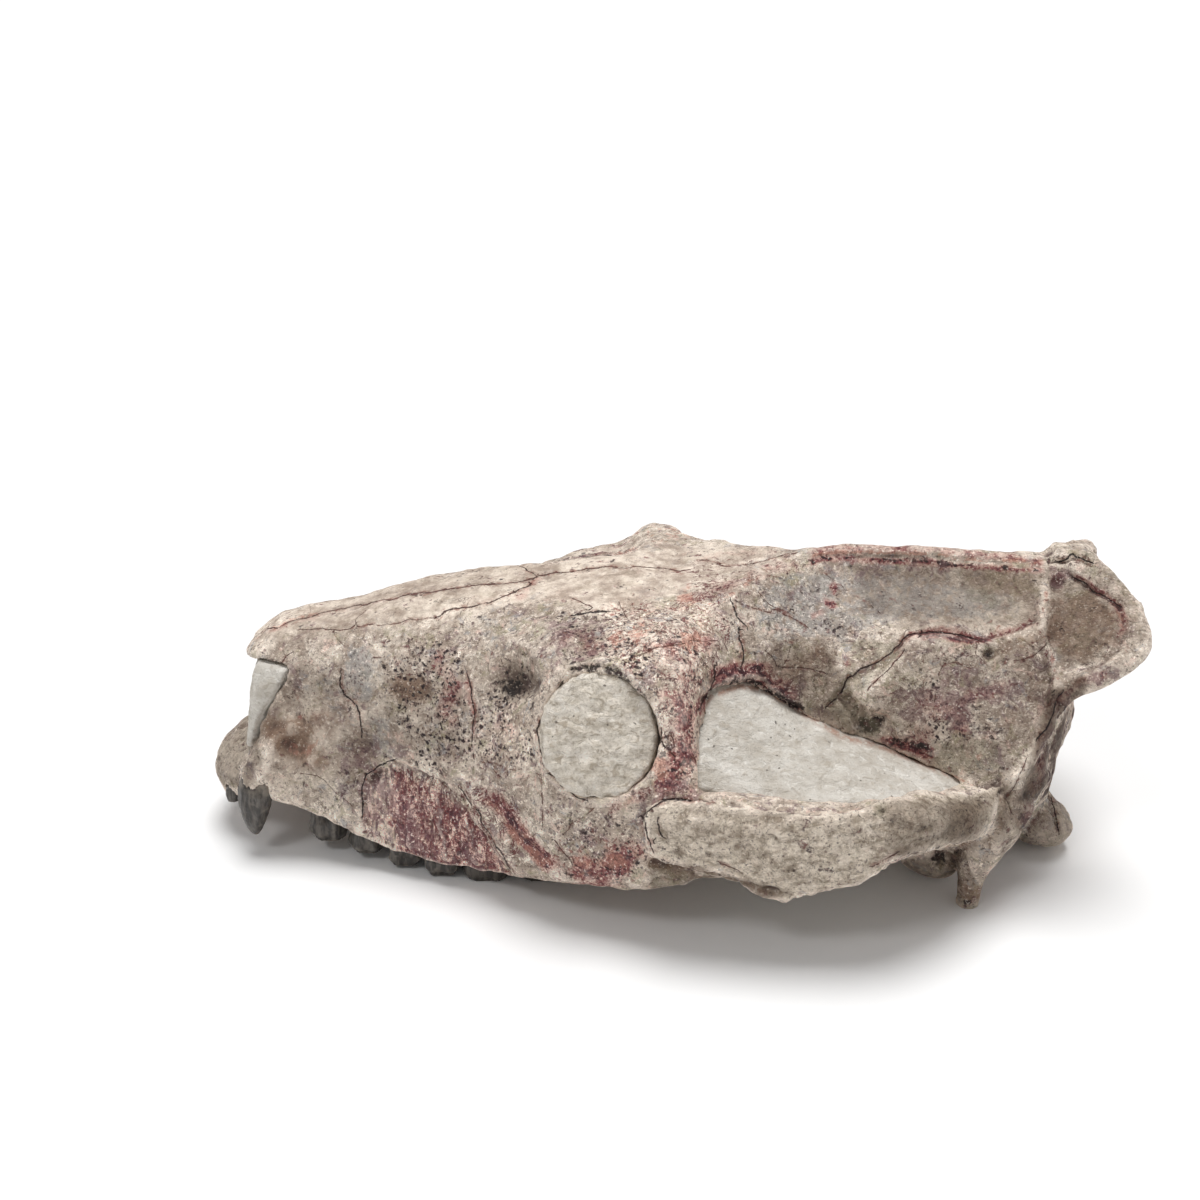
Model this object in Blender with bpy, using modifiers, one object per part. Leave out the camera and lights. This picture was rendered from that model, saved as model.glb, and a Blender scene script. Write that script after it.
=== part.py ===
"""Fossil oreodont skull without its lower jaw, standing on its molars and paroccipital processes.

Units are metres, +Z is up, the nose points towards -X and the animal's left side faces -Y.
The tables below are in millimetres in the skull's own frame: X runs from the nose to the occiput,
y is the distance from the middle plane and z the height over the surface the skull stands on.
"""

import math

import bmesh
import bpy
import numpy as np
from mathutils import Matrix, Vector

MM = 0.001
X_MIDDLE = 11.65  # the middle of the skull's length, in the tables' X
VOXEL = 1.35  # size of the blocks that weld the bones into one
CRANIUM_TRIANGLES = 4200
FILL_TRIANGLES = 440
GAP = 0.35  # clearance round each tooth and filling

# Half sections of the skull's body, from the middle of the roof round the side to the middle of the palate
# and the skull base: X, then eleven (y, z) pairs.
BODY = [
    (-90.2, [(0, 15.6), (1.2, 15.6), (2.4, 15.4), (3.6, 15), (4.6, 14.4), (5, 13.4), (4.6, 12.4), (3.6, 11.4), (2.4, 11), (1.2, 10.9), (0, 10.9)]),
    (-88.6, [(0, 18), (2.2, 18), (4.4, 17.6), (6.4, 16.8), (7.8, 15.6), (8.4, 14), (8, 11.6), (6.4, 9.7), (4.4, 9.2), (2.2, 9.4), (0, 9.6)]),
    (-84.5, [(0, 22.2), (3, 22.1), (6, 21.4), (9, 20.2), (11.5, 18.4), (13, 16), (13.2, 12.2), (11.4, 9.4), (8, 9), (4, 10), (0, 10.4)]),
    (-81, [(0, 24.6), (3.4, 24.4), (6.8, 23.6), (10, 22.4), (13, 21.4), (15, 18.4), (16, 14.8), (15, 11.2), (10.5, 11), (6, 12.4), (0, 13.2)]),
    (-78.6, [(0, 30.6), (4, 30.4), (8, 29.4), (11.4, 27.4), (14.4, 24.6), (16.8, 21.4), (18.4, 17.6), (18.4, 14), (13, 12), (7, 13.6), (0, 14.4)]),
    (-75.9, [(0, 46.8), (4.4, 46.6), (8.8, 45.4), (11.5, 41.4), (14.2, 34), (16.8, 26.4), (19.8, 19.6), (20.2, 15.2), (14.6, 12.8), (7.8, 14.4), (0, 15.4)]),
    (-73.5, [(0, 48.4), (4.8, 48.2), (9.6, 46.8), (12.8, 42.8), (15.7, 35.6), (18.6, 27.6), (21.6, 20.2), (22.6, 15.9), (17, 13.4), (9, 15.2), (0, 16.8)]),
    (-66, [(0, 50.4), (5.4, 50.2), (11, 48.2), (14.4, 43.8), (17, 37), (19.6, 29), (22, 20.2), (22.6, 13.4), (17, 12.6), (9.4, 15.6), (0, 17.4)]),
    (-56, [(0, 52.3), (6.2, 52.1), (12.4, 50.2), (16.4, 45.6), (19.2, 38.4), (21.8, 29.4), (24, 18.8), (24.6, 10.2), (18.6, 9.8), (10.4, 14), (0, 17)]),
    (-46, [(0, 55), (6.6, 54.8), (13, 52.8), (18, 47.8), (21.6, 40), (24.8, 30), (27.4, 17.4), (28.8, 6.8), (20.4, 6.8), (11.4, 13), (0, 16.6)]),
    (-34, [(0, 57.2), (7.4, 57), (14.8, 55.2), (20.8, 50.4), (25.4, 42.4), (29, 32.4), (31.8, 18), (32.6, 5.6), (23, 6.2), (12.4, 12.6), (0, 16.2)]),
    (-24, [(0, 58.6), (8.4, 58.3), (17, 56.5), (24, 52.2), (29.2, 45.2), (33.6, 35.2), (36.4, 21), (35.4, 6.6), (25, 6.2), (13, 12.6), (0, 16)]),
    (-16, [(0, 59.6), (9.4, 59.3), (20, 57.6), (28.4, 54), (34.6, 47.2), (39.4, 36.4), (42.2, 22), (40.4, 7.4), (27, 6.4), (13.6, 13), (0, 16)]),
    (-7, [(0, 61), (11.4, 60.7), (25, 59.3), (34, 56.6), (40.4, 50), (45, 38.4), (48, 24), (46.4, 10), (31, 9), (16, 14.4), (0, 16.4)]),
    (2, [(0, 62), (13, 61.6), (29, 59.9), (37.4, 57.8), (42.4, 51.6), (47.2, 40), (50.6, 26), (49.4, 11.8), (36, 11.4), (18, 16.6), (0, 17.8)]),
    (10, [(0, 62.2), (14, 61.9), (31, 60.4), (38.6, 58), (43, 52), (48.2, 41), (52.4, 28), (51.8, 13.4), (38, 13), (19, 18), (0, 18.8)]),
    (17, [(0, 61.8), (13.6, 61.8), (28.4, 61), (36.4, 58.4), (41.4, 53), (47.4, 42.4), (53, 30), (53.4, 15), (40, 14.8), (19, 19), (0, 19.2)]),
    (19.8, [(0, 62.2), (12.4, 62.3), (24.4, 61.2), (31.6, 58.2), (37.4, 52.4), (44.6, 43), (52, 31.6), (53, 16), (41, 16), (19, 19), (0, 19)]),
    (24.2, [(0, 62.7), (10.4, 62.8), (19.6, 61.9), (25.6, 58.2), (29.6, 52), (31, 44), (29, 34), (23, 25), (17.4, 20), (10, 18.6), (0, 18.6)]),
    (31, [(0, 63.6), (6.6, 63.8), (13.2, 63.2), (18.6, 58.8), (23.6, 52), (25.8, 44), (25, 35), (21, 26), (16, 20.6), (9, 18), (0, 17.8)]),
    (37, [(0, 65.2), (4.2, 65.3), (8.6, 64.8), (13.4, 60), (20, 53.4), (24.2, 45), (24.4, 36), (20.4, 27), (16, 20.6), (9, 17.6), (0, 17)]),
    (46, [(0, 67.6), (2.4, 67.2), (4.2, 64.4), (9, 59), (18, 53), (24, 44.6), (25.8, 35.6), (22, 27), (17, 20), (9, 16.6), (0, 16)]),
    (60, [(0, 68.6), (2, 67.6), (3.8, 62.4), (10, 57.8), (19, 52.6), (25.6, 45), (28.4, 36), (26, 27), (19, 18), (9, 14.6), (0, 14)]),
    (74, [(0, 68.1), (2, 67), (4, 62), (10.6, 58.2), (19.6, 53.4), (27, 46), (32, 36.4), (34, 26), (27, 16), (12, 12.6), (0, 12)]),
    (84, [(0, 67.3), (2.2, 66.2), (4.8, 62), (11, 58.6), (20, 54), (27.6, 46.6), (33, 37), (36.6, 26), (31, 15), (14, 11.6), (0, 11)]),
    (91, [(0, 66.7), (2.6, 66), (6, 63.4), (11.6, 60), (19.4, 55.4), (26, 48), (30.6, 38.4), (33.6, 27), (28, 16), (13, 11.2), (0, 10.8)]),
    (97, [(0, 66.4), (3.4, 65.6), (8.4, 63.4), (13.4, 60.2), (19, 55), (23.4, 47), (25.4, 38), (26, 28), (22, 18), (11, 12.4), (0, 11.8)]),
    (102, [(0, 62), (3.4, 61.4), (7.4, 59.2), (11.2, 55.6), (14.2, 50), (15.8, 43), (16, 36), (14.6, 29), (11.4, 23), (6.4, 19.6), (0, 19)]),
    (105.6, [(0, 50), (2.6, 49.6), (5.2, 48.2), (7.4, 45.6), (8.6, 42), (8.8, 38.4), (8.4, 35), (7.4, 31.4), (5.6, 28.6), (3, 27), (0, 26.6)]),
]

# The cheekbone's bar under the orbit and the temporal opening: X, outer y, inner y, lower z, upper z.
CHEEKBONE = [
    (-14, 42.0, 36, 10.6, 24),
    (-4, 47.6, 39, 10.4, 27),
    (4, 50.4, 42, 11.2, 29.4),
    (12, 52.2, 43.4, 12.8, 30.4),
    (21, 54.0, 45.6, 14.6, 31),
    (30, 56.0, 48, 16.2, 31),
    (38, 57.4, 49.8, 18.0, 31),
    (46, 58.0, 51.6, 20.2, 31),
]

# The flat bar that lies on the cheekbone's outer side and runs back to the skull, in the same columns.
SLAB = [
    (11.4, 54.8, 46.6, 19.4, 33.4),
    (17, 55.8, 46.4, 18.8, 34.2),
    (24, 57.2, 47.4, 18.0, 34.9),
    (31, 58.6, 48.4, 16.8, 35.3),
    (37, 59.6, 49.6, 14.6, 35.4),
    (41, 60.2, 50.4, 15.2, 35.3),
    (46, 60.6, 50.8, 17.6, 35.5),
    (51, 60.4, 50.8, 19.0, 35.6),
    (57, 59.4, 49.6, 21.8, 35.2),
    (63, 56.8, 46.4, 22.6, 33.8),
    (69, 52.8, 41, 22.0, 32.0),
    (75, 47.8, 34.6, 20.8, 30.2),
    (80, 43.0, 29, 19.4, 28.8),
    (84.5, 38.4, 25, 18.6, 27.2),
]

# The thick rim of the neck crest: from the top middle round the left wing, then down the side to the ear region,
# as X, y, z and radius.
RIM = [
    (99.4, 0, 64.4, 4.4),
    (105, 4.0, 64.2, 4.2),
    (108.6, 10.0, 62.6, 3.3),
    (110.9, 16.6, 60.8, 2.7),
    (111.6, 21.8, 59.0, 2.5),
    (111.2, 26.2, 57.0, 2.5),
    (108.4, 28.9, 54.3, 2.5),
    (103.4, 29.4, 51.6, 2.6),
    (98.8, 29.2, 49.2, 2.7),
    (94.6, 29.6, 45.4, 2.6),
    (90.6, 31.4, 39, 2.6),
    (87.2, 33.8, 32, 2.7),
    (84.6, 35.4, 25, 3.0),
]

# The plate of the neck crest inside its rim: where it starts on the braincase, next to each of the rim's first points.
PLATE_ROOT = [
    (88, 0, 58),
    (88, 3, 57.6),
    (88, 7, 56),
    (88, 11, 53.6),
    (88, 14, 51.6),
    (88, 17, 49.4),
    (88, 19, 47),
    (88, 21, 44.6),
    (88, 23, 42),
]

# The left orbit: middle of its mouth, half width and half height of the mouth, and how far it faces upward.
ORBIT_MIDDLE = (0.5, 46.6, 44.8)
ORBIT_WIDE, ORBIT_HIGH = 12.2, 13.1
ORBIT_UP = 22
# The way from the orbit back behind the postorbital bar: X, y, z, radius.
PASSAGE = [
    (1.5, 36, 39.6, 8.8),
    (6, 31, 38, 9.0),
    (16, 29.6, 36.2, 8.4),
    (28, 29.4, 33.6, 7.6),
]

# The rock that fills the temporal opening: X, then the (y, z) of its top inner edge, top outer edge,
# bottom outer edge and bottom inner edge.
FOSSA = [
    (18.4, (33.5, 46.4), (49.0, 35.6), (46.5, 20.5), (26, 22)),
    (21, (27.5, 50.2), (49.4, 34.8), (46.8, 19.5), (21, 21.6)),
    (28, (22.5, 49.0), (50.0, 34.2), (49.2, 19.0), (18, 21)),
    (34, (20, 45.8), (51.0, 34.0), (50.8, 18.8), (17, 20)),
    (42, (21, 40.4), (52.2, 33.8), (52.0, 19.0), (18, 19)),
    (52, (23.5, 36.2), (52.4, 33.6), (51.6, 21.4), (19.5, 18)),
    (62, (25.5, 32.8), (48.6, 32.2), (46.4, 23.6), (21, 17.6)),
    (70, (28, 30.2), (42.6, 29.8), (39.6, 23.2), (23, 17.6)),
    (76, (30.5, 28.8), (37.2, 28.4), (35.0, 23), (27, 19)),
]

# Upper cheek teeth from front to back: name, middle X, outer y at the neck, length, width, z of the crown's end.
CHEEK = [
    ("premolar_1", -61.2, 20.8, 8.6, 5.4, 3.2),
    ("premolar_2", -52.2, 23.6, 8.4, 6.4, 1.8),
    ("premolar_3", -43.2, 26.9, 8.6, 7.6, 0.7),
    ("premolar_4", -34.6, 29.8, 7.8, 9.4, 0.2),
    ("molar_1", -24.6, 31.4, 11.4, 11.4, 0.0),
    ("molar_2", -12.2, 31.2, 12.6, 12.8, 0.0),
    ("molar_3", 2.0, 30.4, 15.0, 13.0, 0.0),
]
NECK_Z = [(-61.2, 10.8), (-52.2, 8.2), (-43.2, 6.6), (-34.6, 6.0), (-24.6, 6.2), (-12.2, 6.4), (2.0, 6.6)]

# Shallow hollows of the face's left side: middle, radii, and turn about X, Y and Z in degrees.
HOLLOWS = [
    ((-18.4, 37.6, 53.4), (7.4, 7.4, 7.4), (0, 0, 0)),
    ((-67.0, 28.4, 27.4), (7.6, 8.0, 6.4), (0, 0, 0)),
    ((-52.5, 32.2, 25.0), (8.4, 8.8, 7.0), (0, 0, 0)),
    ((-31.5, 43.0, 15.4), (16.0, 8.8, 8.0), (0, 0, -16)),
]

BONE = (0.60, 0.545, 0.50)
ROCK = (0.74, 0.70, 0.645)
ENAMEL = (0.115, 0.105, 0.095)


# ---------------------------------------------------------------- curves and small mesh tools


def smooth_rows(rows, at, xs):
    """Rows of numbers given at xs, read at the places at, along a smooth curve through the rows."""
    rows, xs = np.asarray(rows, float), np.asarray(xs, float)
    slope = np.zeros_like(rows)
    slope[1:-1] = (rows[2:] - rows[:-2]) / (xs[2:] - xs[:-2])[:, None]
    slope[0] = (rows[1] - rows[0]) / (xs[1] - xs[0])
    slope[-1] = (rows[-1] - rows[-2]) / (xs[-1] - xs[-2])
    out = []
    for x in at:
        i = min(max(int(np.searchsorted(xs, x)) - 1, 0), len(xs) - 2)
        h = xs[i + 1] - xs[i]
        t = (x - xs[i]) / h
        out.append(
            (2 * t**3 - 3 * t**2 + 1) * rows[i]
            + (t**3 - 2 * t**2 + t) * h * slope[i]
            + (3 * t**2 - 2 * t**3) * rows[i + 1]
            + (t**3 - t**2) * h * slope[i + 1]
        )
    return np.array(out)


def bpy_object(name, mesh, collection):
    obj = bpy.data.objects.new(name, mesh)
    collection.objects.link(obj)
    return obj


def drop(obj):
    mesh = obj.data
    bpy.data.objects.remove(obj)
    if mesh.users == 0 and isinstance(mesh, bpy.types.Mesh):
        bpy.data.meshes.remove(mesh)


def loft(name, rings, collection):
    """A closed solid through a row of rings, each with as many points as the next."""
    bm = bmesh.new()
    rows = [[bm.verts.new(Vector(p) * MM) for p in ring] for ring in rings]
    n = len(rows[0])
    for a, b in zip(rows, rows[1:]):
        for i in range(n):
            bm.faces.new((a[i], a[(i + 1) % n], b[(i + 1) % n], b[i]))
    bm.faces.new(rows[0][::-1])
    bm.faces.new(rows[-1])
    bmesh.ops.remove_doubles(bm, verts=bm.verts, dist=1e-6)
    bmesh.ops.recalc_face_normals(bm, faces=bm.faces)
    mesh = bpy.data.meshes.new(name)
    bm.to_mesh(mesh)
    bm.free()
    return bpy_object(name, mesh, collection)


def tube(name, points, collection, side, resolution=6):
    """A round bar of changing thickness along points of X, y, z and radius, with its ends closed."""
    fine = smooth_rows(points, np.linspace(0, len(points) - 1, 4 * len(points)), range(len(points)))
    curve = bpy.data.curves.new(name, "CURVE")
    curve.dimensions = "3D"
    curve.bevel_depth = MM
    curve.bevel_resolution = resolution
    curve.use_fill_caps = True
    spline = curve.splines.new("POLY")
    spline.points.add(len(fine) - 1)
    for point, (x, y, z, r) in zip(spline.points, fine):
        point.co = (x * MM, side * y * MM, z * MM, 1)
        point.radius = r
    obj = bpy_object(name, curve, collection)
    return as_mesh(obj, collection)


def as_mesh(obj, collection):
    """The object as it looks with its modifiers, as a plain mesh object of the same name."""
    graph = bpy.context.evaluated_depsgraph_get()
    mesh = bpy.data.meshes.new_from_object(obj.evaluated_get(graph))
    name, place = obj.name, obj.matrix_world.copy()
    bpy.data.objects.remove(obj)
    mesh.transform(place)
    bm = bmesh.new()
    bm.from_mesh(mesh)
    bmesh.ops.remove_doubles(bm, verts=bm.verts, dist=1e-6)
    bmesh.ops.recalc_face_normals(bm, faces=bm.faces)
    bm.to_mesh(mesh)
    bm.free()
    return bpy_object(name, mesh, collection)


def ball(name, middle, radii, collection, side, turn=(0, 0, 0)):
    """An egg-shaped lump. turn is in degrees about X, Y and Z on the left side, and mirrored on the right."""
    bm = bmesh.new()
    bmesh.ops.create_uvsphere(bm, u_segments=24, v_segments=16, radius=MM)
    tx, ty, tz = (math.radians(a) for a in turn)
    spin = Matrix.Rotation(tz * -side, 4, "Z") @ Matrix.Rotation(ty, 4, "Y") @ Matrix.Rotation(tx * -side, 4, "X")
    x, y, z = middle
    bm.transform(Matrix.Translation(Vector((x, side * y, z)) * MM) @ spin @ Matrix.Diagonal((*radii, 1)))
    bmesh.ops.recalc_face_normals(bm, faces=bm.faces)
    mesh = bpy.data.meshes.new(name)
    bm.to_mesh(mesh)
    bm.free()
    return bpy_object(name, mesh, collection)


def joined(name, objects, collection):
    bm = bmesh.new()
    for obj in objects:
        bm.from_mesh(obj.data)
        drop(obj)
    mesh = bpy.data.meshes.new(name)
    bm.to_mesh(mesh)
    bm.free()
    return bpy_object(name, mesh, collection)


def welded(obj, voxel, passes, collection):
    """One skin round all the overlapping solids of obj, then smoothed."""
    remesh = obj.modifiers.new("weld", "REMESH")
    remesh.mode = "VOXEL"
    remesh.voxel_size = voxel * MM
    smooth = obj.modifiers.new("soften", "SMOOTH")
    smooth.factor = 0.5
    smooth.iterations = passes
    return as_mesh(obj, collection)


def thinned(obj, triangles, collection):
    """The same surface with about that many triangles."""
    tri = obj.modifiers.new("triangles", "TRIANGULATE")
    tri.keep_custom_normals = False
    count = sum(len(p.vertices) - 2 for p in obj.data.polygons)
    less = obj.modifiers.new("less", "DECIMATE")
    less.ratio = min(1.0, triangles / count)
    return as_mesh(obj, collection)


def largest_body(obj):
    """Leaves the largest connected shell and removes any crumbs."""
    bm = bmesh.new()
    bm.from_mesh(obj.data)
    bm.verts.ensure_lookup_table()
    seen, groups = set(), []
    for v in bm.verts:
        if v in seen:
            continue
        stack, group = [v], []
        seen.add(v)
        while stack:
            w = stack.pop()
            group.append(w)
            for e in w.link_edges:
                o = e.other_vert(w)
                if o not in seen:
                    seen.add(o)
                    stack.append(o)
        groups.append(group)
    groups.sort(key=len)
    for group in groups[:-1]:
        bmesh.ops.delete(bm, geom=group, context="VERTS")
    bm.to_mesh(obj.data)
    bm.free()


def inflated(obj, by, collection):
    """A copy that stands by millimetres proud of obj."""
    copy = bpy_object(obj.name + "_room", obj.data.copy(), collection)
    bm = bmesh.new()
    bm.from_mesh(copy.data)
    bm.normal_update()
    moved = []
    for v in bm.verts:
        normal, weight = Vector(), 0.0
        for f in v.link_faces:
            normal += f.normal * f.calc_area()
        normal.normalize()
        # A vertex on a sharp edge moves further, so that the faces beside it move by the full distance.
        share = min([max(normal.dot(f.normal), 0.45) for f in v.link_faces] or [1.0])
        moved.append(v.co + normal * (by * MM / share))
    for v, co in zip(bm.verts, moved):
        v.co = co
    bm.to_mesh(copy.data)
    bm.free()
    copy.hide_render = True
    copy.display_type = "WIRE"
    return copy


# ---------------------------------------------------------------- the bones


def body_rings():
    """Closed rings round the skull's body, every 2 mm or so of its length."""
    xs = [row[0] for row in BODY]
    halves = []
    for _, half in BODY:
        half = np.array(half, float)
        ahead = half[1] * [-1, 1]
        behind = half[-2] * [-1, 1]
        rows = np.vstack([ahead, half, behind])
        fine = smooth_rows(rows, np.linspace(1, len(half), 5 * (len(half) - 1) + 1), range(len(rows)))
        fine[0, 0] = fine[-1, 0] = 0.0
        halves.append(fine.ravel())
    at = np.unique(np.concatenate([np.arange(xs[0], xs[-1], 2.0), xs]))
    rings = []
    for x, row in zip(at, smooth_rows(halves, at, xs)):
        half = row.reshape(-1, 2)
        half[1:-1, 0] = np.maximum(half[1:-1, 0], 0.05)
        left = [(x, -y, z) for y, z in half]
        right = [(x, y, z) for y, z in half[-2:0:-1]]
        rings.append(left + right)
    return rings


def bar_rings(table, side):
    """Rings round a flat bar of the cheek arch, with its lower outer edge drawn in."""
    xs = [row[0] for row in table]
    at = np.linspace(xs[0], xs[-1], 3 * len(table))
    rings = []
    for x, (outer, inner, low, high) in zip(at, smooth_rows([row[1:] for row in table], at, xs)):
        cy, cz, ry, rz = (outer + inner) / 2, (low + high) / 2, (outer - inner) / 2, (high - low) / 2
        ring = []
        for k in range(24):
            a = 2 * math.pi * k / 24
            c, s = math.cos(a), math.sin(a)
            bulge = math.copysign(abs(c) ** 0.7, c)
            rise = math.copysign(abs(s) ** 0.6, s)
            ring.append((x, side * (cy + ry * bulge * (1 - 0.28 * max(-rise, 0))), cz + rz * rise))
        rings.append(ring)
    return rings


def plate_rings(side):
    """Rings round the neck crest's plate, one at each of the rim's first points, about 5 mm thick."""
    rings = []
    for i, root in enumerate(PLATE_ROOT):
        rim, root = Vector(RIM[i][:3]), Vector(root)
        along = Vector(RIM[i + 1][:3]) - Vector(RIM[max(i - 1, 0)][:3])
        across = (rim - root).normalized()
        thick = along.cross(across).normalized()
        ring = []
        for t, half in ((0, 3.4), (0.34, 2.7), (0.67, 2.3), (1, 2.4)):
            ring.append(root + (rim - root) * t + thick * half)
        for t, half in ((1, 2.4), (0.67, 2.3), (0.34, 2.7), (0, 3.4)):
            ring.append(root + (rim - root) * t - thick * half)
        rings.append([(p.x, side * p.y, p.z) for p in ring])
    return rings


def bones(collection, voxel=VOXEL, passes=3):
    """The cranium before its sockets are cut: every bone welded into one closed skin."""
    parts = [loft("body", body_rings(), collection)]
    for side in (-1, 1):
        parts.append(loft("cheekbone", bar_rings(CHEEKBONE, side), collection))
        parts.append(loft("slab", bar_rings(SLAB, side), collection))
        parts.append(tube("crest_rim", RIM, collection, side))
        parts.append(loft("crest_plate", plate_rings(side), collection))
        # The bony shelf that carries the cheek teeth.
        shelf = []
        for x in np.linspace(-66, 8.5, 24):
            neck = np.interp(x, [p[0] for p in NECK_Z], [p[1] for p in NECK_Z])
            outer = np.interp(x, [c[1] for c in CHEEK], [c[2] for c in CHEEK])
            width = np.interp(x, [c[1] for c in CHEEK], [c[4] for c in CHEEK]) + 4.4
            end = 1 if x > -66 and x < 8.5 else 0.5
            ring = []
            for k in range(16):
                a = 2 * math.pi * k / 16
                c, s = math.cos(a), math.sin(a)
                ring.append(
                    (
                        x,
                        side * (outer + 2.2 - width / 2 + end * width / 2 * math.copysign(abs(c) ** 0.6, c)),
                        neck + 8 + end * 8 * math.copysign(abs(s) ** 0.7, s),
                    )
                )
            shelf.append(ring)
        parts.append(loft("tooth_shelf", shelf, collection))
        # Condyles, ear capsules, and the paroccipital processes that end flat on the table.
        parts.append(ball("condyle", (100.0, 11.4, 6.2), (8.0, 7.8, 5.6), collection, side, (0, 18, 18)))
        parts.append(ball("condyle_neck", (91, 9.5, 10.6), (12, 8.5, 6.4), collection, side, (0, 0, 8)))
        parts.append(ball("ear_capsule", (73.4, 26.2, 10), (8.6, 6.6, 9.4), collection, side, (0, 0, -14)))
        parts.append(
            tube(
                "paroccipital",
                [(85, 33.6, 26, 7), (82.4, 34.8, 18, 6.2), (80.6, 35.4, 11.6, 4.6), (79.8, 35.8, 6.4, 3.1), (79.5, 36, 3, 2.7), (79.3, 36, -1.6, 2.5)],
                collection,
                side,
            )
        )
        # Front of the ear opening, where the arch meets the skull base.
        parts.append(ball("joint_root", (71, 36.5, 21.5), (10, 8.4, 5.6), collection, side, (0, 0, 18)))
        # Flange behind the palate.
        parts.append(
            tube("pterygoid", [(8, 16, 16, 4.2), (18, 13.4, 13.2, 3.4), (28, 11.4, 13.6, 3.2), (40, 11, 16.8, 3)], collection, side)
        )
        # The root of the canine swells the muzzle.
        parts.append(tube("canine_root", [(-76.4, 18.4, 16.6, 4.6), (-72.4, 18.2, 24, 4.4), (-65.6, 17.2, 32, 3.4)], collection, side))
    parts.append(ball("skull_base", (84, 0, 12), (20, 12, 6), collection, 1))
    # The nasal bones jut out over the nose opening.
    tip = []
    for x, half, top, low in ((-69, 11.5, 49.0, 44.6), (-73, 11.2, 48.2, 44.4), (-76.4, 10.2, 46.6, 43.4), (-79, 8.0, 45.2, 42.2), (-80.6, 4.4, 43.8, 42.0)):
        over = [(-1, 0.25), (-0.86, 0.72), (-0.45, 0.95), (0, 1), (0.45, 0.95), (0.86, 0.72), (1, 0.25)]
        ring = [(x, half * a, low + (top - low) * b) for a, b in over]
        ring += [(x, half * a, low - 0.9 + (top - low) * 0.35 * (1 - a * a)) for a in (0.8, 0.4, 0, -0.4, -0.8)]
        tip.append(ring)
    parts.append(loft("nasal_tip", tip, collection))
    skull = joined("bones", parts, collection)
    return welded(skull, voxel, passes, collection)


def with_hollows(skull, voxel, passes, collection):
    """The welded bones with the face's shallow hollows pressed in, and the skin made even again."""
    tools = []
    for side in (-1, 1):
        for k, (middle, radii, turn) in enumerate(HOLLOWS):
            tools.append(ball(f"hollow_{k}", middle, radii, collection, side, turn))
    done = cut(skull, tools, collection)
    for tool in tools:
        drop(tool)
    return welded(done, voxel, passes, collection)


def table_cutter(collection):
    """A block under the table's level, which cuts the paroccipital tips flat."""
    bm = bmesh.new()
    bmesh.ops.create_cube(bm, size=1)
    bm.transform(Matrix.Translation((0, 0, -10 * MM)) @ Matrix.Diagonal((0.3, 0.2, 20 * MM, 1)))
    mesh = bpy.data.meshes.new("table_level")
    bm.to_mesh(mesh)
    bm.free()
    return bpy_object("table_level", mesh, collection)


def back_hole(collection):
    """The hole for the spinal cord, between the condyles."""
    return tube("spinal_hole", [(118, 0, 20, 6.4), (104, 0, 20.4, 6.0), (92, 0, 21, 4.6)], collection, 1)


# ---------------------------------------------------------------- teeth and fillings


def fossa_rings(side):
    xs = [row[0] for row in FOSSA]
    at = np.linspace(xs[0], xs[-1], 20)
    rings = []
    for x, row in zip(at, smooth_rows([np.ravel(r[1:]) for r in FOSSA], at, xs)):
        a, b, c, d = row.reshape(4, 2)
        ring = []
        for p, q in ((a, b), (b, c), (c, d), (d, a)):
            for t in (0.0, 0.25, 0.5, 0.75):
                y, z = p + (q - p) * t
                if p is a:
                    z += 0.7 * math.sin(math.pi * t)
                ring.append((x, side * y, z))
        rings.append(ring)
    return rings


def orbit_rings(side, reach_out, reach_in, dome=0.0, grow=0.0):
    """Rings down the orbit's own axis, from reach_out in front of its mouth to reach_in behind it."""
    up = math.radians(ORBIT_UP)
    middle = Vector(ORBIT_MIDDLE)
    out, rise = Vector((0, math.cos(up), math.sin(up))), Vector((0, -math.sin(up), math.cos(up)))
    depths = [(reach_out + dome, 0.3), (reach_out + dome * 0.7, 0.62), (reach_out, 0.96)] if dome else [(reach_out, 1.0)]
    depths += [(0.0 if reach_out > 0 else reach_out - 2, 1.0), (reach_in * 0.5, 0.97), (reach_in, 0.8)]
    rings = []
    for depth, size in depths:
        ring = []
        for k in range(24):
            a = 2 * math.pi * k / 24
            p = middle + out * depth + Vector((1, 0, 0)) * (ORBIT_WIDE + grow) * size * math.cos(a)
            p += rise * (ORBIT_HIGH + grow) * size * math.sin(a)
            ring.append((p.x, side * p.y, p.z))
        rings.append(ring)
    return rings


def filling(name, side, collection):
    """The rock in one orbit and temporal opening, in one piece behind the postorbital bar."""
    parts = [
        loft("orbit_rock", orbit_rings(side, -1.6, -13, dome=0.9), collection),
        tube("passage_rock", PASSAGE, collection, side, 6),
        loft("fossa_rock", fossa_rings(side), collection),
    ]
    rock = welded(joined(name, parts, collection), 1.0, 5, collection)
    return thinned(rock, FILL_TRIANGLES, collection)


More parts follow.
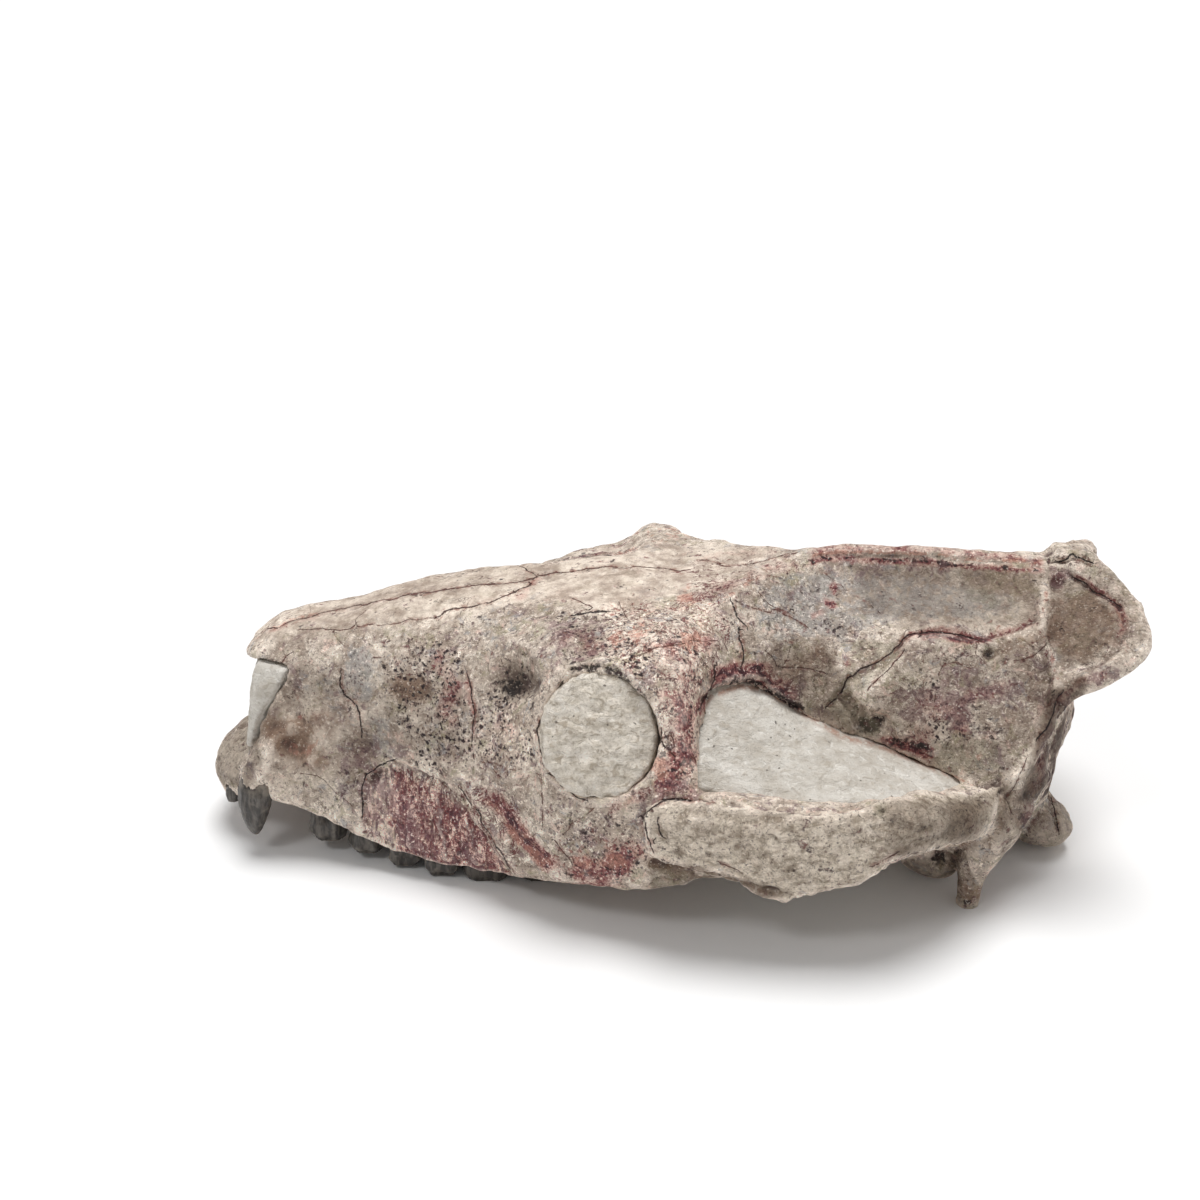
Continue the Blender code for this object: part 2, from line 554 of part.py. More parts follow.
def nose_plug(collection):
    """Rock that plugs the nose opening and stands a little out of it."""
    rings = []
    # z, front X, X of the bone's edge at the side, half width at that edge
    for z, front, edge, half in (
        (24.4, -80.2, -78.2, 15.6),
        (26.4, -80.0, -77.6, 16.6),
        (30.0, -79.2, -76.8, 16.5),
        (33.0, -78.8, -75.4, 16.9),
        (37.0, -78.3, -72.8, 16.5),
        (41.0, -77.6, -70.2, 15.4),
        (43.2, -76.6, -69.0, 14.0),
    ):
        outline = [(front, 0.42), (front + 0.6, 0.74), ((front + edge) / 2, 0.95), (edge, 1.0), (edge + 1.6, 0.86), (-66, 0.66)]
        right = [(x, half * share, z) for x, share in outline]
        rings.append(right + [(x, -y, z) for x, y, z in reversed(right)])
    return loft("matrix_nasal", rings, collection)


def canine(name, side, collection):
    """A stout canine: three-sided in section, bent a little back, worn to a blunt point."""
    rows = [  # z, middle X, middle y, half length, half width
        (22.5, -73.6, 17.6, 4.0, 3.0),
        (18.6, -75.2, 18.8, 4.4, 3.5),
        (15.6, -76.2, 19.4, 4.3, 3.6),
        (12.0, -76.9, 19.8, 3.7, 3.2),
        (8.8, -77.2, 20.0, 2.8, 2.5),
        (6.2, -77.5, 20.0, 1.8, 1.7),
        (5.0, -77.6, 20.0, 0.9, 0.9),
    ]
    rings = []
    for z, x, y, length, width in rows:
        ring = []
        for k in range(10):
            a = 2 * math.pi * k / 10
            r = 1 + 0.14 * math.cos(3 * a)
            ring.append((x - length * r * math.cos(a), side * (y + width * r * math.sin(a)), z))
        rings.append(ring)
    return loft(name, rings, collection)


def incisor(name, side, collection):
    rows = [(16.0, -82.6, 10.4, 2.0, 1.8), (12.4, -83.6, 11.0, 2.2, 2.0), (10.2, -84.2, 11.4, 2.0, 1.8), (8.4, -84.4, 11.6, 1.3, 1.2)]
    rings = []
    for z, x, y, length, width in rows:
        rings.append(
            [(x + length * math.cos(2 * math.pi * k / 10), side * (y + width * math.sin(2 * math.pi * k / 10)), z) for k in range(10)]
        )
    return loft(name, rings, collection)


def cheek_tooth(name, x, outer, length, width, end, neck, side, collection):
    """A crescent-cusped cheek tooth: a waisted outer wall with three ribs, and a flat worn end."""
    rings = []
    top = neck + (4.6 if width > 7 else 3.8)
    premolar = name.startswith("premolar")
    for share, swell in ((0.0, 0.76), (0.5, 0.96), (0.8, 0.98), (1.0, 0.8 if premolar else 0.88)):
        z = top + (end - top) * share
        ring = []
        for k in range(12):
            a = 2 * math.pi * (k + 0.5) / 12
            c, s = math.cos(a), math.sin(a)
            rib = 1 + 0.05 * math.cos(6 * a)
            px = x + swell * rib * length / 2 * math.copysign(abs(c) ** 0.62, c) * (0.9 - 0.1 * s if width < 8 else 1)
            py = outer - width / 2 + swell * rib * width / 2 * math.copysign(abs(s) ** 0.62, s)
            ring.append((px, side * py, z))
        rings.append(ring)
    return loft(name, rings, collection)


def trough(side, collection):
    """The groove in the jaw that holds one row of cheek teeth, with clearance all round them."""
    rings = []
    first, last = CHEEK[0], CHEEK[-1]
    xs = [first[1] - first[3] / 2 - 0.5] + [c[1] for c in CHEEK] + [last[1] + last[3] / 2 + 0.5]
    for x in xs:
        outer = np.interp(x, [c[1] for c in CHEEK], [c[2] for c in CHEEK]) + 0.75
        width = np.interp(x, [c[1] for c in CHEEK], [c[4] for c in CHEEK]) + 1.5
        top = np.interp(x, [p[0] for p in NECK_Z], [p[1] for p in NECK_Z]) + 5.4
        rings.append(
            [(x, side * outer, -4), (x, side * outer, top - 1), (x, side * (outer - 1.2), top)]
            + [(x, side * (outer - width + 1.2), top), (x, side * (outer - width), top - 1), (x, side * (outer - width), -4)]
        )
    return loft("tooth_trough", rings, collection)


# ---------------------------------------------------------------- putting it together


def material(name, colour, roughness):
    made = bpy.data.materials.new(name)
    made.use_nodes = True
    shader = made.node_tree.nodes["Principled BSDF"]
    shader.inputs["Base Color"].default_value = (*colour, 1)
    shader.inputs["Roughness"].default_value = roughness
    shader.inputs["Metallic"].default_value = 0.0
    return made


def cut(obj, cutters, collection):
    for k, cutter in enumerate(cutters):
        boolean = obj.modifiers.new(f"cut_{k:02d}", "BOOLEAN")
        boolean.operation = "DIFFERENCE"
        boolean.object = cutter
    done = as_mesh(obj, collection)
    largest_body(done)
    return done


def all_pieces(parts, cutters):
    """Every piece in the tables' frame."""
    pieces = []
    for side, word in ((-1, "left"), (1, "right")):
        pieces.append(filling(f"matrix_fill_{word}", side, parts))
        pieces.append(canine(f"canine_{word}", side, parts))
        pieces.append(incisor(f"incisor_{word}", side, parts))
        for (tooth, x, outer, length, width, end), (_, neck) in zip(CHEEK, NECK_Z):
            pieces.append(cheek_tooth(f"{tooth}_{word}", x, outer, length, width, end, neck, side, parts))
    pieces.append(nose_plug(parts))
    return pieces


def main():
    for obj in list(bpy.data.objects):
        bpy.data.objects.remove(obj)
    scene = bpy.context.scene
    parts = bpy.data.collections.new("oreodont_skull")
    cutters = bpy.data.collections.new("cutters")
    scene.collection.children.link(parts)
    scene.collection.children.link(cutters)
    cutters.hide_render = True

    cranium = with_hollows(bones(parts), VOXEL, 4, parts)
    cranium = thinned(cranium, CRANIUM_TRIANGLES, parts)
    pieces = all_pieces(parts, cutters)
    cheek = [piece for piece in pieces if piece.name.startswith(("premolar", "molar"))]
    rooms = [inflated(piece, GAP, cutters) for piece in pieces if piece not in cheek]
    # A second, tighter room clears the thin edges of the rock, where the wide one folds over itself.
    rooms += [inflated(piece, 0.4 * GAP, cutters) for piece in pieces if piece.name.startswith("matrix")]
    tools = [table_cutter(cutters), back_hole(cutters)]
    for side in (-1, 1):
        tools.append(trough(side, cutters))
        tools.append(loft("orbit_mouth", orbit_rings(side, 9, -10, grow=0.2), cutters))
    cranium = cut(cranium, tools + rooms, parts)
    cranium.name = cranium.data.name = "cranium"
    for tool in tools + rooms:
        drop(tool)

    looks = {
        "bone": material("bone", BONE, 0.78),
        "matrix": material("matrix", ROCK, 0.92),
        "enamel": material("enamel", ENAMEL, 0.38),
    }
    for obj in [cranium, *pieces]:
        obj.data.transform(Matrix.Translation((-X_MIDDLE * MM, 0, 0)))
        look = "bone" if obj is cranium else "matrix" if obj.name.startswith("matrix") else "enamel"
        obj.data.materials.clear()
        obj.data.materials.append(looks[look])
        obj.data.shade_smooth()
        obj.data.set_sharp_from_angle(angle=math.radians(40))


if __name__ == "__main__":
    main()
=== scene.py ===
"""Looks of the fossil oreodont skull: weathered bone, rock fillings and dark enamel, on a pale floor.

Units are metres, +Z is up, the nose points towards -X and the animal's left side faces -Y.
The tables of the skull's shape are in millimetres in the skull's own frame, as the frame's solids were made.
Marks that the photograph shows are placed by its pixels: a projector at the camera's place throws
each stroke on the surface that it meets. The far side takes the near side's marks mirrored and warped.
"""

import math

import bmesh
import bpy
import numpy as np
from mathutils import Matrix, Vector


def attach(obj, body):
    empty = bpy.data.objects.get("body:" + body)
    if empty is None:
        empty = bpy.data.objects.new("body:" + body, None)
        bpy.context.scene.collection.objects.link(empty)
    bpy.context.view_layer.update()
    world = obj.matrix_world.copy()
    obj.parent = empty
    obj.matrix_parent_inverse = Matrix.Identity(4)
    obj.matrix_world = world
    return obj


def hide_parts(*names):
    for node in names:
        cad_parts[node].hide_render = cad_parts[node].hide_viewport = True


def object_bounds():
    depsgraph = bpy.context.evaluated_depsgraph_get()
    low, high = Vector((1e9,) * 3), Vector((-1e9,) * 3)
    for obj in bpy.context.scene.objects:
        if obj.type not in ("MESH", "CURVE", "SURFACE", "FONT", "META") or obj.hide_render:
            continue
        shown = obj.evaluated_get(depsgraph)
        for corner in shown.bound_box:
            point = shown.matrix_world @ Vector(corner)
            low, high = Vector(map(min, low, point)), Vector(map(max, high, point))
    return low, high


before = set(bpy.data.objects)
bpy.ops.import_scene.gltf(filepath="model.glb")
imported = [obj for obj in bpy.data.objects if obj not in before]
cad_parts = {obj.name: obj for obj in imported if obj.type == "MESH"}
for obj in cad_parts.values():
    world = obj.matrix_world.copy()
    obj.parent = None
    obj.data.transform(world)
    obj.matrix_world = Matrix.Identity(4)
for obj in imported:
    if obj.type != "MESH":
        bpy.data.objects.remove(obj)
cad_low, cad_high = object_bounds()

MM = 0.001
X_MIDDLE = 11.65  # the middle of the skull's length, in the tables' X
VOXEL = 1.35  # size of the blocks that weld the bones into one
CRANIUM_TRIANGLES = 4200
FILL_TRIANGLES = 440
GAP = 0.35  # clearance round each tooth and filling

# Half sections of the skull's body, from the middle of the roof round the side to the middle of the palate
# and the skull base: X, then eleven (y, z) pairs.
BODY = [
    (-90.2, [(0, 15.6), (1.2, 15.6), (2.4, 15.4), (3.6, 15), (4.6, 14.4), (5, 13.4), (4.6, 12.4), (3.6, 11.4), (2.4, 11), (1.2, 10.9), (0, 10.9)]),
    (-88.6, [(0, 18), (2.2, 18), (4.4, 17.6), (6.4, 16.8), (7.8, 15.6), (8.4, 14), (8, 11.6), (6.4, 9.7), (4.4, 9.2), (2.2, 9.4), (0, 9.6)]),
    (-84.5, [(0, 22.2), (3, 22.1), (6, 21.4), (9, 20.2), (11.5, 18.4), (13, 16), (13.2, 12.2), (11.4, 9.4), (8, 9), (4, 10), (0, 10.4)]),
    (-81, [(0, 24.6), (3.4, 24.4), (6.8, 23.6), (10, 22.4), (13, 21.4), (15, 18.4), (16, 14.8), (15, 11.2), (10.5, 11), (6, 12.4), (0, 13.2)]),
    (-78.6, [(0, 30.6), (4, 30.4), (8, 29.4), (11.4, 27.4), (14.4, 24.6), (16.8, 21.4), (18.4, 17.6), (18.4, 14), (13, 12), (7, 13.6), (0, 14.4)]),
    (-75.9, [(0, 46.8), (4.4, 46.6), (8.8, 45.4), (11.5, 41.4), (14.2, 34), (16.8, 26.4), (19.8, 19.6), (20.2, 15.2), (14.6, 12.8), (7.8, 14.4), (0, 15.4)]),
    (-73.5, [(0, 48.4), (4.8, 48.2), (9.6, 46.8), (12.8, 42.8), (15.7, 35.6), (18.6, 27.6), (21.6, 20.2), (22.6, 15.9), (17, 13.4), (9, 15.2), (0, 16.8)]),
    (-66, [(0, 50.4), (5.4, 50.2), (11, 48.2), (14.4, 43.8), (17, 37), (19.6, 29), (22, 20.2), (22.6, 13.4), (17, 12.6), (9.4, 15.6), (0, 17.4)]),
    (-56, [(0, 52.3), (6.2, 52.1), (12.4, 50.2), (16.4, 45.6), (19.2, 38.4), (21.8, 29.4), (24, 18.8), (24.6, 10.2), (18.6, 9.8), (10.4, 14), (0, 17)]),
    (-46, [(0, 55), (6.6, 54.8), (13, 52.8), (18, 47.8), (21.6, 40), (24.8, 30), (27.4, 17.4), (28.8, 6.8), (20.4, 6.8), (11.4, 13), (0, 16.6)]),
    (-34, [(0, 57.2), (7.4, 57), (14.8, 55.2), (20.8, 50.4), (25.4, 42.4), (29, 32.4), (31.8, 18), (32.6, 5.6), (23, 6.2), (12.4, 12.6), (0, 16.2)]),
    (-24, [(0, 58.6), (8.4, 58.3), (17, 56.5), (24, 52.2), (29.2, 45.2), (33.6, 35.2), (36.4, 21), (35.4, 6.6), (25, 6.2), (13, 12.6), (0, 16)]),
    (-16, [(0, 59.6), (9.4, 59.3), (20, 57.6), (28.4, 54), (34.6, 47.2), (39.4, 36.4), (42.2, 22), (40.4, 7.4), (27, 6.4), (13.6, 13), (0, 16)]),
    (-7, [(0, 61), (11.4, 60.7), (25, 59.3), (34, 56.6), (40.4, 50), (45, 38.4), (48, 24), (46.4, 10), (31, 9), (16, 14.4), (0, 16.4)]),
    (2, [(0, 62), (13, 61.6), (29, 59.9), (37.4, 57.8), (42.4, 51.6), (47.2, 40), (50.6, 26), (49.4, 11.8), (36, 11.4), (18, 16.6), (0, 17.8)]),
    (10, [(0, 62.2), (14, 61.9), (31, 60.4), (38.6, 58), (43, 52), (48.2, 41), (52.4, 28), (51.8, 13.4), (38, 13), (19, 18), (0, 18.8)]),
    (17, [(0, 61.8), (13.6, 61.8), (28.4, 61), (36.4, 58.4), (41.4, 53), (47.4, 42.4), (53, 30), (53.4, 15), (40, 14.8), (19, 19), (0, 19.2)]),
    (19.8, [(0, 62.2), (12.4, 62.3), (24.4, 61.2), (31.6, 58.2), (37.4, 52.4), (44.6, 43), (52, 31.6), (53, 16), (41, 16), (19, 19), (0, 19)]),
    (24.2, [(0, 62.7), (10.4, 62.8), (19.6, 61.9), (25.6, 58.2), (29.6, 52), (31, 44), (29, 34), (23, 25), (17.4, 20), (10, 18.6), (0, 18.6)]),
    (31, [(0, 63.6), (6.6, 63.8), (13.2, 63.2), (18.6, 58.8), (23.6, 52), (25.8, 44), (25, 35), (21, 26), (16, 20.6), (9, 18), (0, 17.8)]),
    (37, [(0, 65.2), (4.2, 65.3), (8.6, 64.8), (13.4, 60), (20, 53.4), (24.2, 45), (24.4, 36), (20.4, 27), (16, 20.6), (9, 17.6), (0, 17)]),
    (46, [(0, 67.6), (2.4, 67.2), (4.2, 64.4), (9, 59), (18, 53), (24, 44.6), (25.8, 35.6), (22, 27), (17, 20), (9, 16.6), (0, 16)]),
    (60, [(0, 68.6), (2, 67.6), (3.8, 62.4), (10, 57.8), (19, 52.6), (25.6, 45), (28.4, 36), (26, 27), (19, 18), (9, 14.6), (0, 14)]),
    (74, [(0, 68.1), (2, 67), (4, 62), (10.6, 58.2), (19.6, 53.4), (27, 46), (32, 36.4), (34, 26), (27, 16), (12, 12.6), (0, 12)]),
    (84, [(0, 67.3), (2.2, 66.2), (4.8, 62), (11, 58.6), (20, 54), (27.6, 46.6), (33, 37), (36.6, 26), (31, 15), (14, 11.6), (0, 11)]),
    (91, [(0, 66.7), (2.6, 66), (6, 63.4), (11.6, 60), (19.4, 55.4), (26, 48), (30.6, 38.4), (33.6, 27), (28, 16), (13, 11.2), (0, 10.8)]),
    (97, [(0, 66.4), (3.4, 65.6), (8.4, 63.4), (13.4, 60.2), (19, 55), (23.4, 47), (25.4, 38), (26, 28), (22, 18), (11, 12.4), (0, 11.8)]),
    (102, [(0, 62), (3.4, 61.4), (7.4, 59.2), (11.2, 55.6), (14.2, 50), (15.8, 43), (16, 36), (14.6, 29), (11.4, 23), (6.4, 19.6), (0, 19)]),
    (105.6, [(0, 50), (2.6, 49.6), (5.2, 48.2), (7.4, 45.6), (8.6, 42), (8.8, 38.4), (8.4, 35), (7.4, 31.4), (5.6, 28.6), (3, 27), (0, 26.6)]),
]

# The cheekbone's bar under the orbit and the temporal opening: X, outer y, inner y, lower z, upper z.
CHEEKBONE = [
    (-14, 42.0, 36, 10.6, 24),
    (-4, 47.6, 39, 10.4, 27),
    (4, 50.4, 42, 11.2, 29.4),
    (12, 52.2, 43.4, 12.8, 30.4),
    (21, 54.0, 45.6, 14.6, 31),
    (30, 56.0, 48, 16.2, 31),
    (38, 57.4, 49.8, 18.0, 31),
    (46, 58.0, 51.6, 20.2, 31),
]

# The flat bar that lies on the cheekbone's outer side and runs back to the skull, in the same columns.
SLAB = [
    (11.4, 54.8, 46.6, 19.4, 33.4),
    (17, 55.8, 46.4, 18.8, 34.2),
    (24, 57.2, 47.4, 18.0, 34.9),
    (31, 58.6, 48.4, 16.8, 35.3),
    (37, 59.6, 49.6, 14.6, 35.4),
    (41, 60.2, 50.4, 15.2, 35.3),
    (46, 60.6, 50.8, 17.6, 35.5),
    (51, 60.4, 50.8, 19.0, 35.6),
    (57, 59.4, 49.6, 21.8, 35.2),
    (63, 56.8, 46.4, 22.6, 33.8),
    (69, 52.8, 41, 22.0, 32.0),
    (75, 47.8, 34.6, 20.8, 30.2),
    (80, 43.0, 29, 19.4, 28.8),
    (84.5, 38.4, 25, 18.6, 27.2),
]

# The thick rim of the neck crest: from the top middle round the left wing, then down the side to the ear region,
# as X, y, z and radius.
RIM = [
    (99.4, 0, 64.4, 4.4),
    (105, 4.0, 64.2, 4.2),
    (108.6, 10.0, 62.6, 3.3),
    (110.9, 16.6, 60.8, 2.7),
    (111.6, 21.8, 59.0, 2.5),
    (111.2, 26.2, 57.0, 2.5),
    (108.4, 28.9, 54.3, 2.5),
    (103.4, 29.4, 51.6, 2.6),
    (98.8, 29.2, 49.2, 2.7),
    (94.6, 29.6, 45.4, 2.6),
    (90.6, 31.4, 39, 2.6),
    (87.2, 33.8, 32, 2.7),
    (84.6, 35.4, 25, 3.0),
]

# The plate of the neck crest inside its rim: where it starts on the braincase, next to each of the rim's first points.
PLATE_ROOT = [
    (88, 0, 58),
    (88, 3, 57.6),
    (88, 7, 56),
    (88, 11, 53.6),
    (88, 14, 51.6),
    (88, 17, 49.4),
    (88, 19, 47),
    (88, 21, 44.6),
    (88, 23, 42),
]

# The left orbit: middle of its mouth, half width and half height of the mouth, and how far it faces upward.
ORBIT_MIDDLE = (0.5, 46.6, 44.8)
ORBIT_WIDE, ORBIT_HIGH = 12.2, 13.1
ORBIT_UP = 22
# The way from the orbit back behind the postorbital bar: X, y, z, radius.
PASSAGE = [
    (1.5, 36, 39.6, 8.8),
    (6, 31, 38, 9.0),
    (16, 29.6, 36.2, 8.4),
    (28, 29.4, 33.6, 7.6),
]

# The rock that fills the temporal opening: X, then the (y, z) of its top inner edge, top outer edge,
# bottom outer edge and bottom inner edge.
FOSSA = [
    (18.4, (33.5, 46.4), (49.0, 35.6), (46.5, 20.5), (26, 22)),
    (21, (27.5, 50.2), (49.4, 34.8), (46.8, 19.5), (21, 21.6)),
    (28, (22.5, 49.0), (50.0, 34.2), (49.2, 19.0), (18, 21)),
    (34, (20, 45.8), (51.0, 34.0), (50.8, 18.8), (17, 20)),
    (42, (21, 40.4), (52.2, 33.8), (52.0, 19.0), (18, 19)),
    (52, (23.5, 36.2), (52.4, 33.6), (51.6, 21.4), (19.5, 18)),
    (62, (25.5, 32.8), (48.6, 32.2), (46.4, 23.6), (21, 17.6)),
    (70, (28, 30.2), (42.6, 29.8), (39.6, 23.2), (23, 17.6)),
    (76, (30.5, 28.8), (37.2, 28.4), (35.0, 23), (27, 19)),
]

# Upper cheek teeth from front to back: name, middle X, outer y at the neck, length, width, z of the crown's end.
CHEEK = [
    ("premolar_1", -61.2, 20.8, 8.6, 5.4, 3.2),
    ("premolar_2", -52.2, 23.6, 8.4, 6.4, 1.8),
    ("premolar_3", -43.2, 26.9, 8.6, 7.6, 0.7),
    ("premolar_4", -34.6, 29.8, 7.8, 9.4, 0.2),
    ("molar_1", -24.6, 31.4, 11.4, 11.4, 0.0),
    ("molar_2", -12.2, 31.2, 12.6, 12.8, 0.0),
    ("molar_3", 2.0, 30.4, 15.0, 13.0, 0.0),
]
NECK_Z = [(-61.2, 10.8), (-52.2, 8.2), (-43.2, 6.6), (-34.6, 6.0), (-24.6, 6.2), (-12.2, 6.4), (2.0, 6.6)]

# Shallow hollows of the face's left side: middle, radii, and turn about X, Y and Z in degrees.
HOLLOWS = [
    ((-18.4, 37.6, 53.4), (7.4, 7.4, 7.4), (0, 0, 0)),
    ((-67.0, 28.4, 27.4), (7.6, 8.0, 6.4), (0, 0, 0)),
    ((-52.5, 32.2, 25.0), (8.4, 8.8, 7.0), (0, 0, 0)),
    ((-31.5, 43.0, 15.4), (16.0, 8.8, 8.0), (0, 0, -16)),
]

BONE = (0.60, 0.545, 0.50)
ROCK = (0.74, 0.70, 0.645)
ENAMEL = (0.115, 0.105, 0.095)


# ---------------------------------------------------------------- curves and small mesh tools


def smooth_rows(rows, at, xs):
    """Rows of numbers given at xs, read at the places at, along a smooth curve through the rows."""
    rows, xs = np.asarray(rows, float), np.asarray(xs, float)
    slope = np.zeros_like(rows)
    slope[1:-1] = (rows[2:] - rows[:-2]) / (xs[2:] - xs[:-2])[:, None]
    slope[0] = (rows[1] - rows[0]) / (xs[1] - xs[0])
    slope[-1] = (rows[-1] - rows[-2]) / (xs[-1] - xs[-2])
    out = []
    for x in at:
        i = min(max(int(np.searchsorted(xs, x)) - 1, 0), len(xs) - 2)
        h = xs[i + 1] - xs[i]
        t = (x - xs[i]) / h
        out.append(
            (2 * t**3 - 3 * t**2 + 1) * rows[i]
            + (t**3 - 2 * t**2 + t) * h * slope[i]
            + (3 * t**2 - 2 * t**3) * rows[i + 1]
            + (t**3 - t**2) * h * slope[i + 1]
        )
    return np.array(out)


def bpy_object(name, mesh, collection):
    obj = bpy.data.objects.new(name, mesh)
    collection.objects.link(obj)
    return obj


def drop(obj):
    mesh = obj.data
    bpy.data.objects.remove(obj)
    if mesh.users == 0 and isinstance(mesh, bpy.types.Mesh):
        bpy.data.meshes.remove(mesh)


def loft(name, rings, collection):
    """A closed solid through a row of rings, each with as many points as the next."""
    bm = bmesh.new()
    rows = [[bm.verts.new(Vector(p) * MM) for p in ring] for ring in rings]
    n = len(rows[0])
    for a, b in zip(rows, rows[1:]):
        for i in range(n):
            bm.faces.new((a[i], a[(i + 1) % n], b[(i + 1) % n], b[i]))
    bm.faces.new(rows[0][::-1])
    bm.faces.new(rows[-1])
    bmesh.ops.remove_doubles(bm, verts=bm.verts, dist=1e-6)
    bmesh.ops.recalc_face_normals(bm, faces=bm.faces)
    mesh = bpy.data.meshes.new(name)
    bm.to_mesh(mesh)
    bm.free()
    return bpy_object(name, mesh, collection)


def tube(name, points, collection, side, resolution=6):
    """A round bar of changing thickness along points of X, y, z and radius, with its ends closed."""
    fine = smooth_rows(points, np.linspace(0, len(points) - 1, 4 * len(points)), range(len(points)))
    curve = bpy.data.curves.new(name, "CURVE")
    curve.dimensions = "3D"
    curve.bevel_depth = MM
    curve.bevel_resolution = resolution
    curve.use_fill_caps = True
    spline = curve.splines.new("POLY")
    spline.points.add(len(fine) - 1)
    for point, (x, y, z, r) in zip(spline.points, fine):
        point.co = (x * MM, side * y * MM, z * MM, 1)
        point.radius = r
    obj = bpy_object(name, curve, collection)
    return as_mesh(obj, collection)


def as_mesh(obj, collection):
    """The object as it looks with its modifiers, as a plain mesh object of the same name."""
    graph = bpy.context.evaluated_depsgraph_get()
    mesh = bpy.data.meshes.new_from_object(obj.evaluated_get(graph))
    name, place = obj.name, obj.matrix_world.copy()
    bpy.data.objects.remove(obj)
    mesh.transform(place)
    bm = bmesh.new()
    bm.from_mesh(mesh)
    bmesh.ops.remove_doubles(bm, verts=bm.verts, dist=1e-6)
    bmesh.ops.recalc_face_normals(bm, faces=bm.faces)
    bm.to_mesh(mesh)
    bm.free()
    return bpy_object(name, mesh, collection)


def ball(name, middle, radii, collection, side, turn=(0, 0, 0)):
    """An egg-shaped lump. turn is in degrees about X, Y and Z on the left side, and mirrored on the right."""
    bm = bmesh.new()
    bmesh.ops.create_uvsphere(bm, u_segments=24, v_segments=16, radius=MM)
    tx, ty, tz = (math.radians(a) for a in turn)
    spin = Matrix.Rotation(tz * -side, 4, "Z") @ Matrix.Rotation(ty, 4, "Y") @ Matrix.Rotation(tx * -side, 4, "X")
    x, y, z = middle
    bm.transform(Matrix.Translation(Vector((x, side * y, z)) * MM) @ spin @ Matrix.Diagonal((*radii, 1)))
    bmesh.ops.recalc_face_normals(bm, faces=bm.faces)
    mesh = bpy.data.meshes.new(name)
    bm.to_mesh(mesh)
    bm.free()
    return bpy_object(name, mesh, collection)


def joined(name, objects, collection):
    bm = bmesh.new()
    for obj in objects:
        bm.from_mesh(obj.data)
        drop(obj)
    mesh = bpy.data.meshes.new(name)
    bm.to_mesh(mesh)
    bm.free()
    return bpy_object(name, mesh, collection)


def welded(obj, voxel, passes, collection):
    """One skin round all the overlapping solids of obj, then smoothed."""
    remesh = obj.modifiers.new("weld", "REMESH")
    remesh.mode = "VOXEL"
    remesh.voxel_size = voxel * MM
    smooth = obj.modifiers.new("soften", "SMOOTH")
    smooth.factor = 0.5
    smooth.iterations = passes
    return as_mesh(obj, collection)


def thinned(obj, triangles, collection):
    """The same surface with about that many triangles."""
    tri = obj.modifiers.new("triangles", "TRIANGULATE")
    tri.keep_custom_normals = False
    count = sum(len(p.vertices) - 2 for p in obj.data.polygons)
    less = obj.modifiers.new("less", "DECIMATE")
    less.ratio = min(1.0, triangles / count)
    return as_mesh(obj, collection)


def largest_body(obj):
    """Leaves the largest connected shell and removes any crumbs."""
    bm = bmesh.new()
    bm.from_mesh(obj.data)
    bm.verts.ensure_lookup_table()
    seen, groups = set(), []
    for v in bm.verts:
        if v in seen:
            continue
        stack, group = [v], []
        seen.add(v)
        while stack:
            w = stack.pop()
            group.append(w)
            for e in w.link_edges:
                o = e.other_vert(w)
                if o not in seen:
                    seen.add(o)
                    stack.append(o)
        groups.append(group)
    groups.sort(key=len)
    for group in groups[:-1]:
        bmesh.ops.delete(bm, geom=group, context="VERTS")
    bm.to_mesh(obj.data)
    bm.free()


def inflated(obj, by, collection):
    """A copy that stands by millimetres proud of obj."""
    copy = bpy_object(obj.name + "_room", obj.data.copy(), collection)
    bm = bmesh.new()
    bm.from_mesh(copy.data)
    bm.normal_update()
    moved = []
    for v in bm.verts:
        normal, weight = Vector(), 0.0
        for f in v.link_faces:
            normal += f.normal * f.calc_area()
        normal.normalize()
        # A vertex on a sharp edge moves further, so that the faces beside it move by the full distance.
        share = min([max(normal.dot(f.normal), 0.45) for f in v.link_faces] or [1.0])
        moved.append(v.co + normal * (by * MM / share))
    for v, co in zip(bm.verts, moved):
        v.co = co
    bm.to_mesh(copy.data)
    bm.free()
    copy.hide_render = True
    copy.display_type = "WIRE"
    return copy


# ---------------------------------------------------------------- the bones


def body_rings():
    """Closed rings round the skull's body, every 2 mm or so of its length."""
    xs = [row[0] for row in BODY]
    halves = []
    for _, half in BODY:
        half = np.array(half, float)
        ahead = half[1] * [-1, 1]
        behind = half[-2] * [-1, 1]
        rows = np.vstack([ahead, half, behind])
        fine = smooth_rows(rows, np.linspace(1, len(half), 5 * (len(half) - 1) + 1), range(len(rows)))
        fine[0, 0] = fine[-1, 0] = 0.0
        halves.append(fine.ravel())
    at = np.unique(np.concatenate([np.arange(xs[0], xs[-1], 2.0), xs]))
    rings = []
    for x, row in zip(at, smooth_rows(halves, at, xs)):
        half = row.reshape(-1, 2)
        half[1:-1, 0] = np.maximum(half[1:-1, 0], 0.05)
        left = [(x, -y, z) for y, z in half]
        right = [(x, y, z) for y, z in half[-2:0:-1]]
        rings.append(left + right)
    return rings


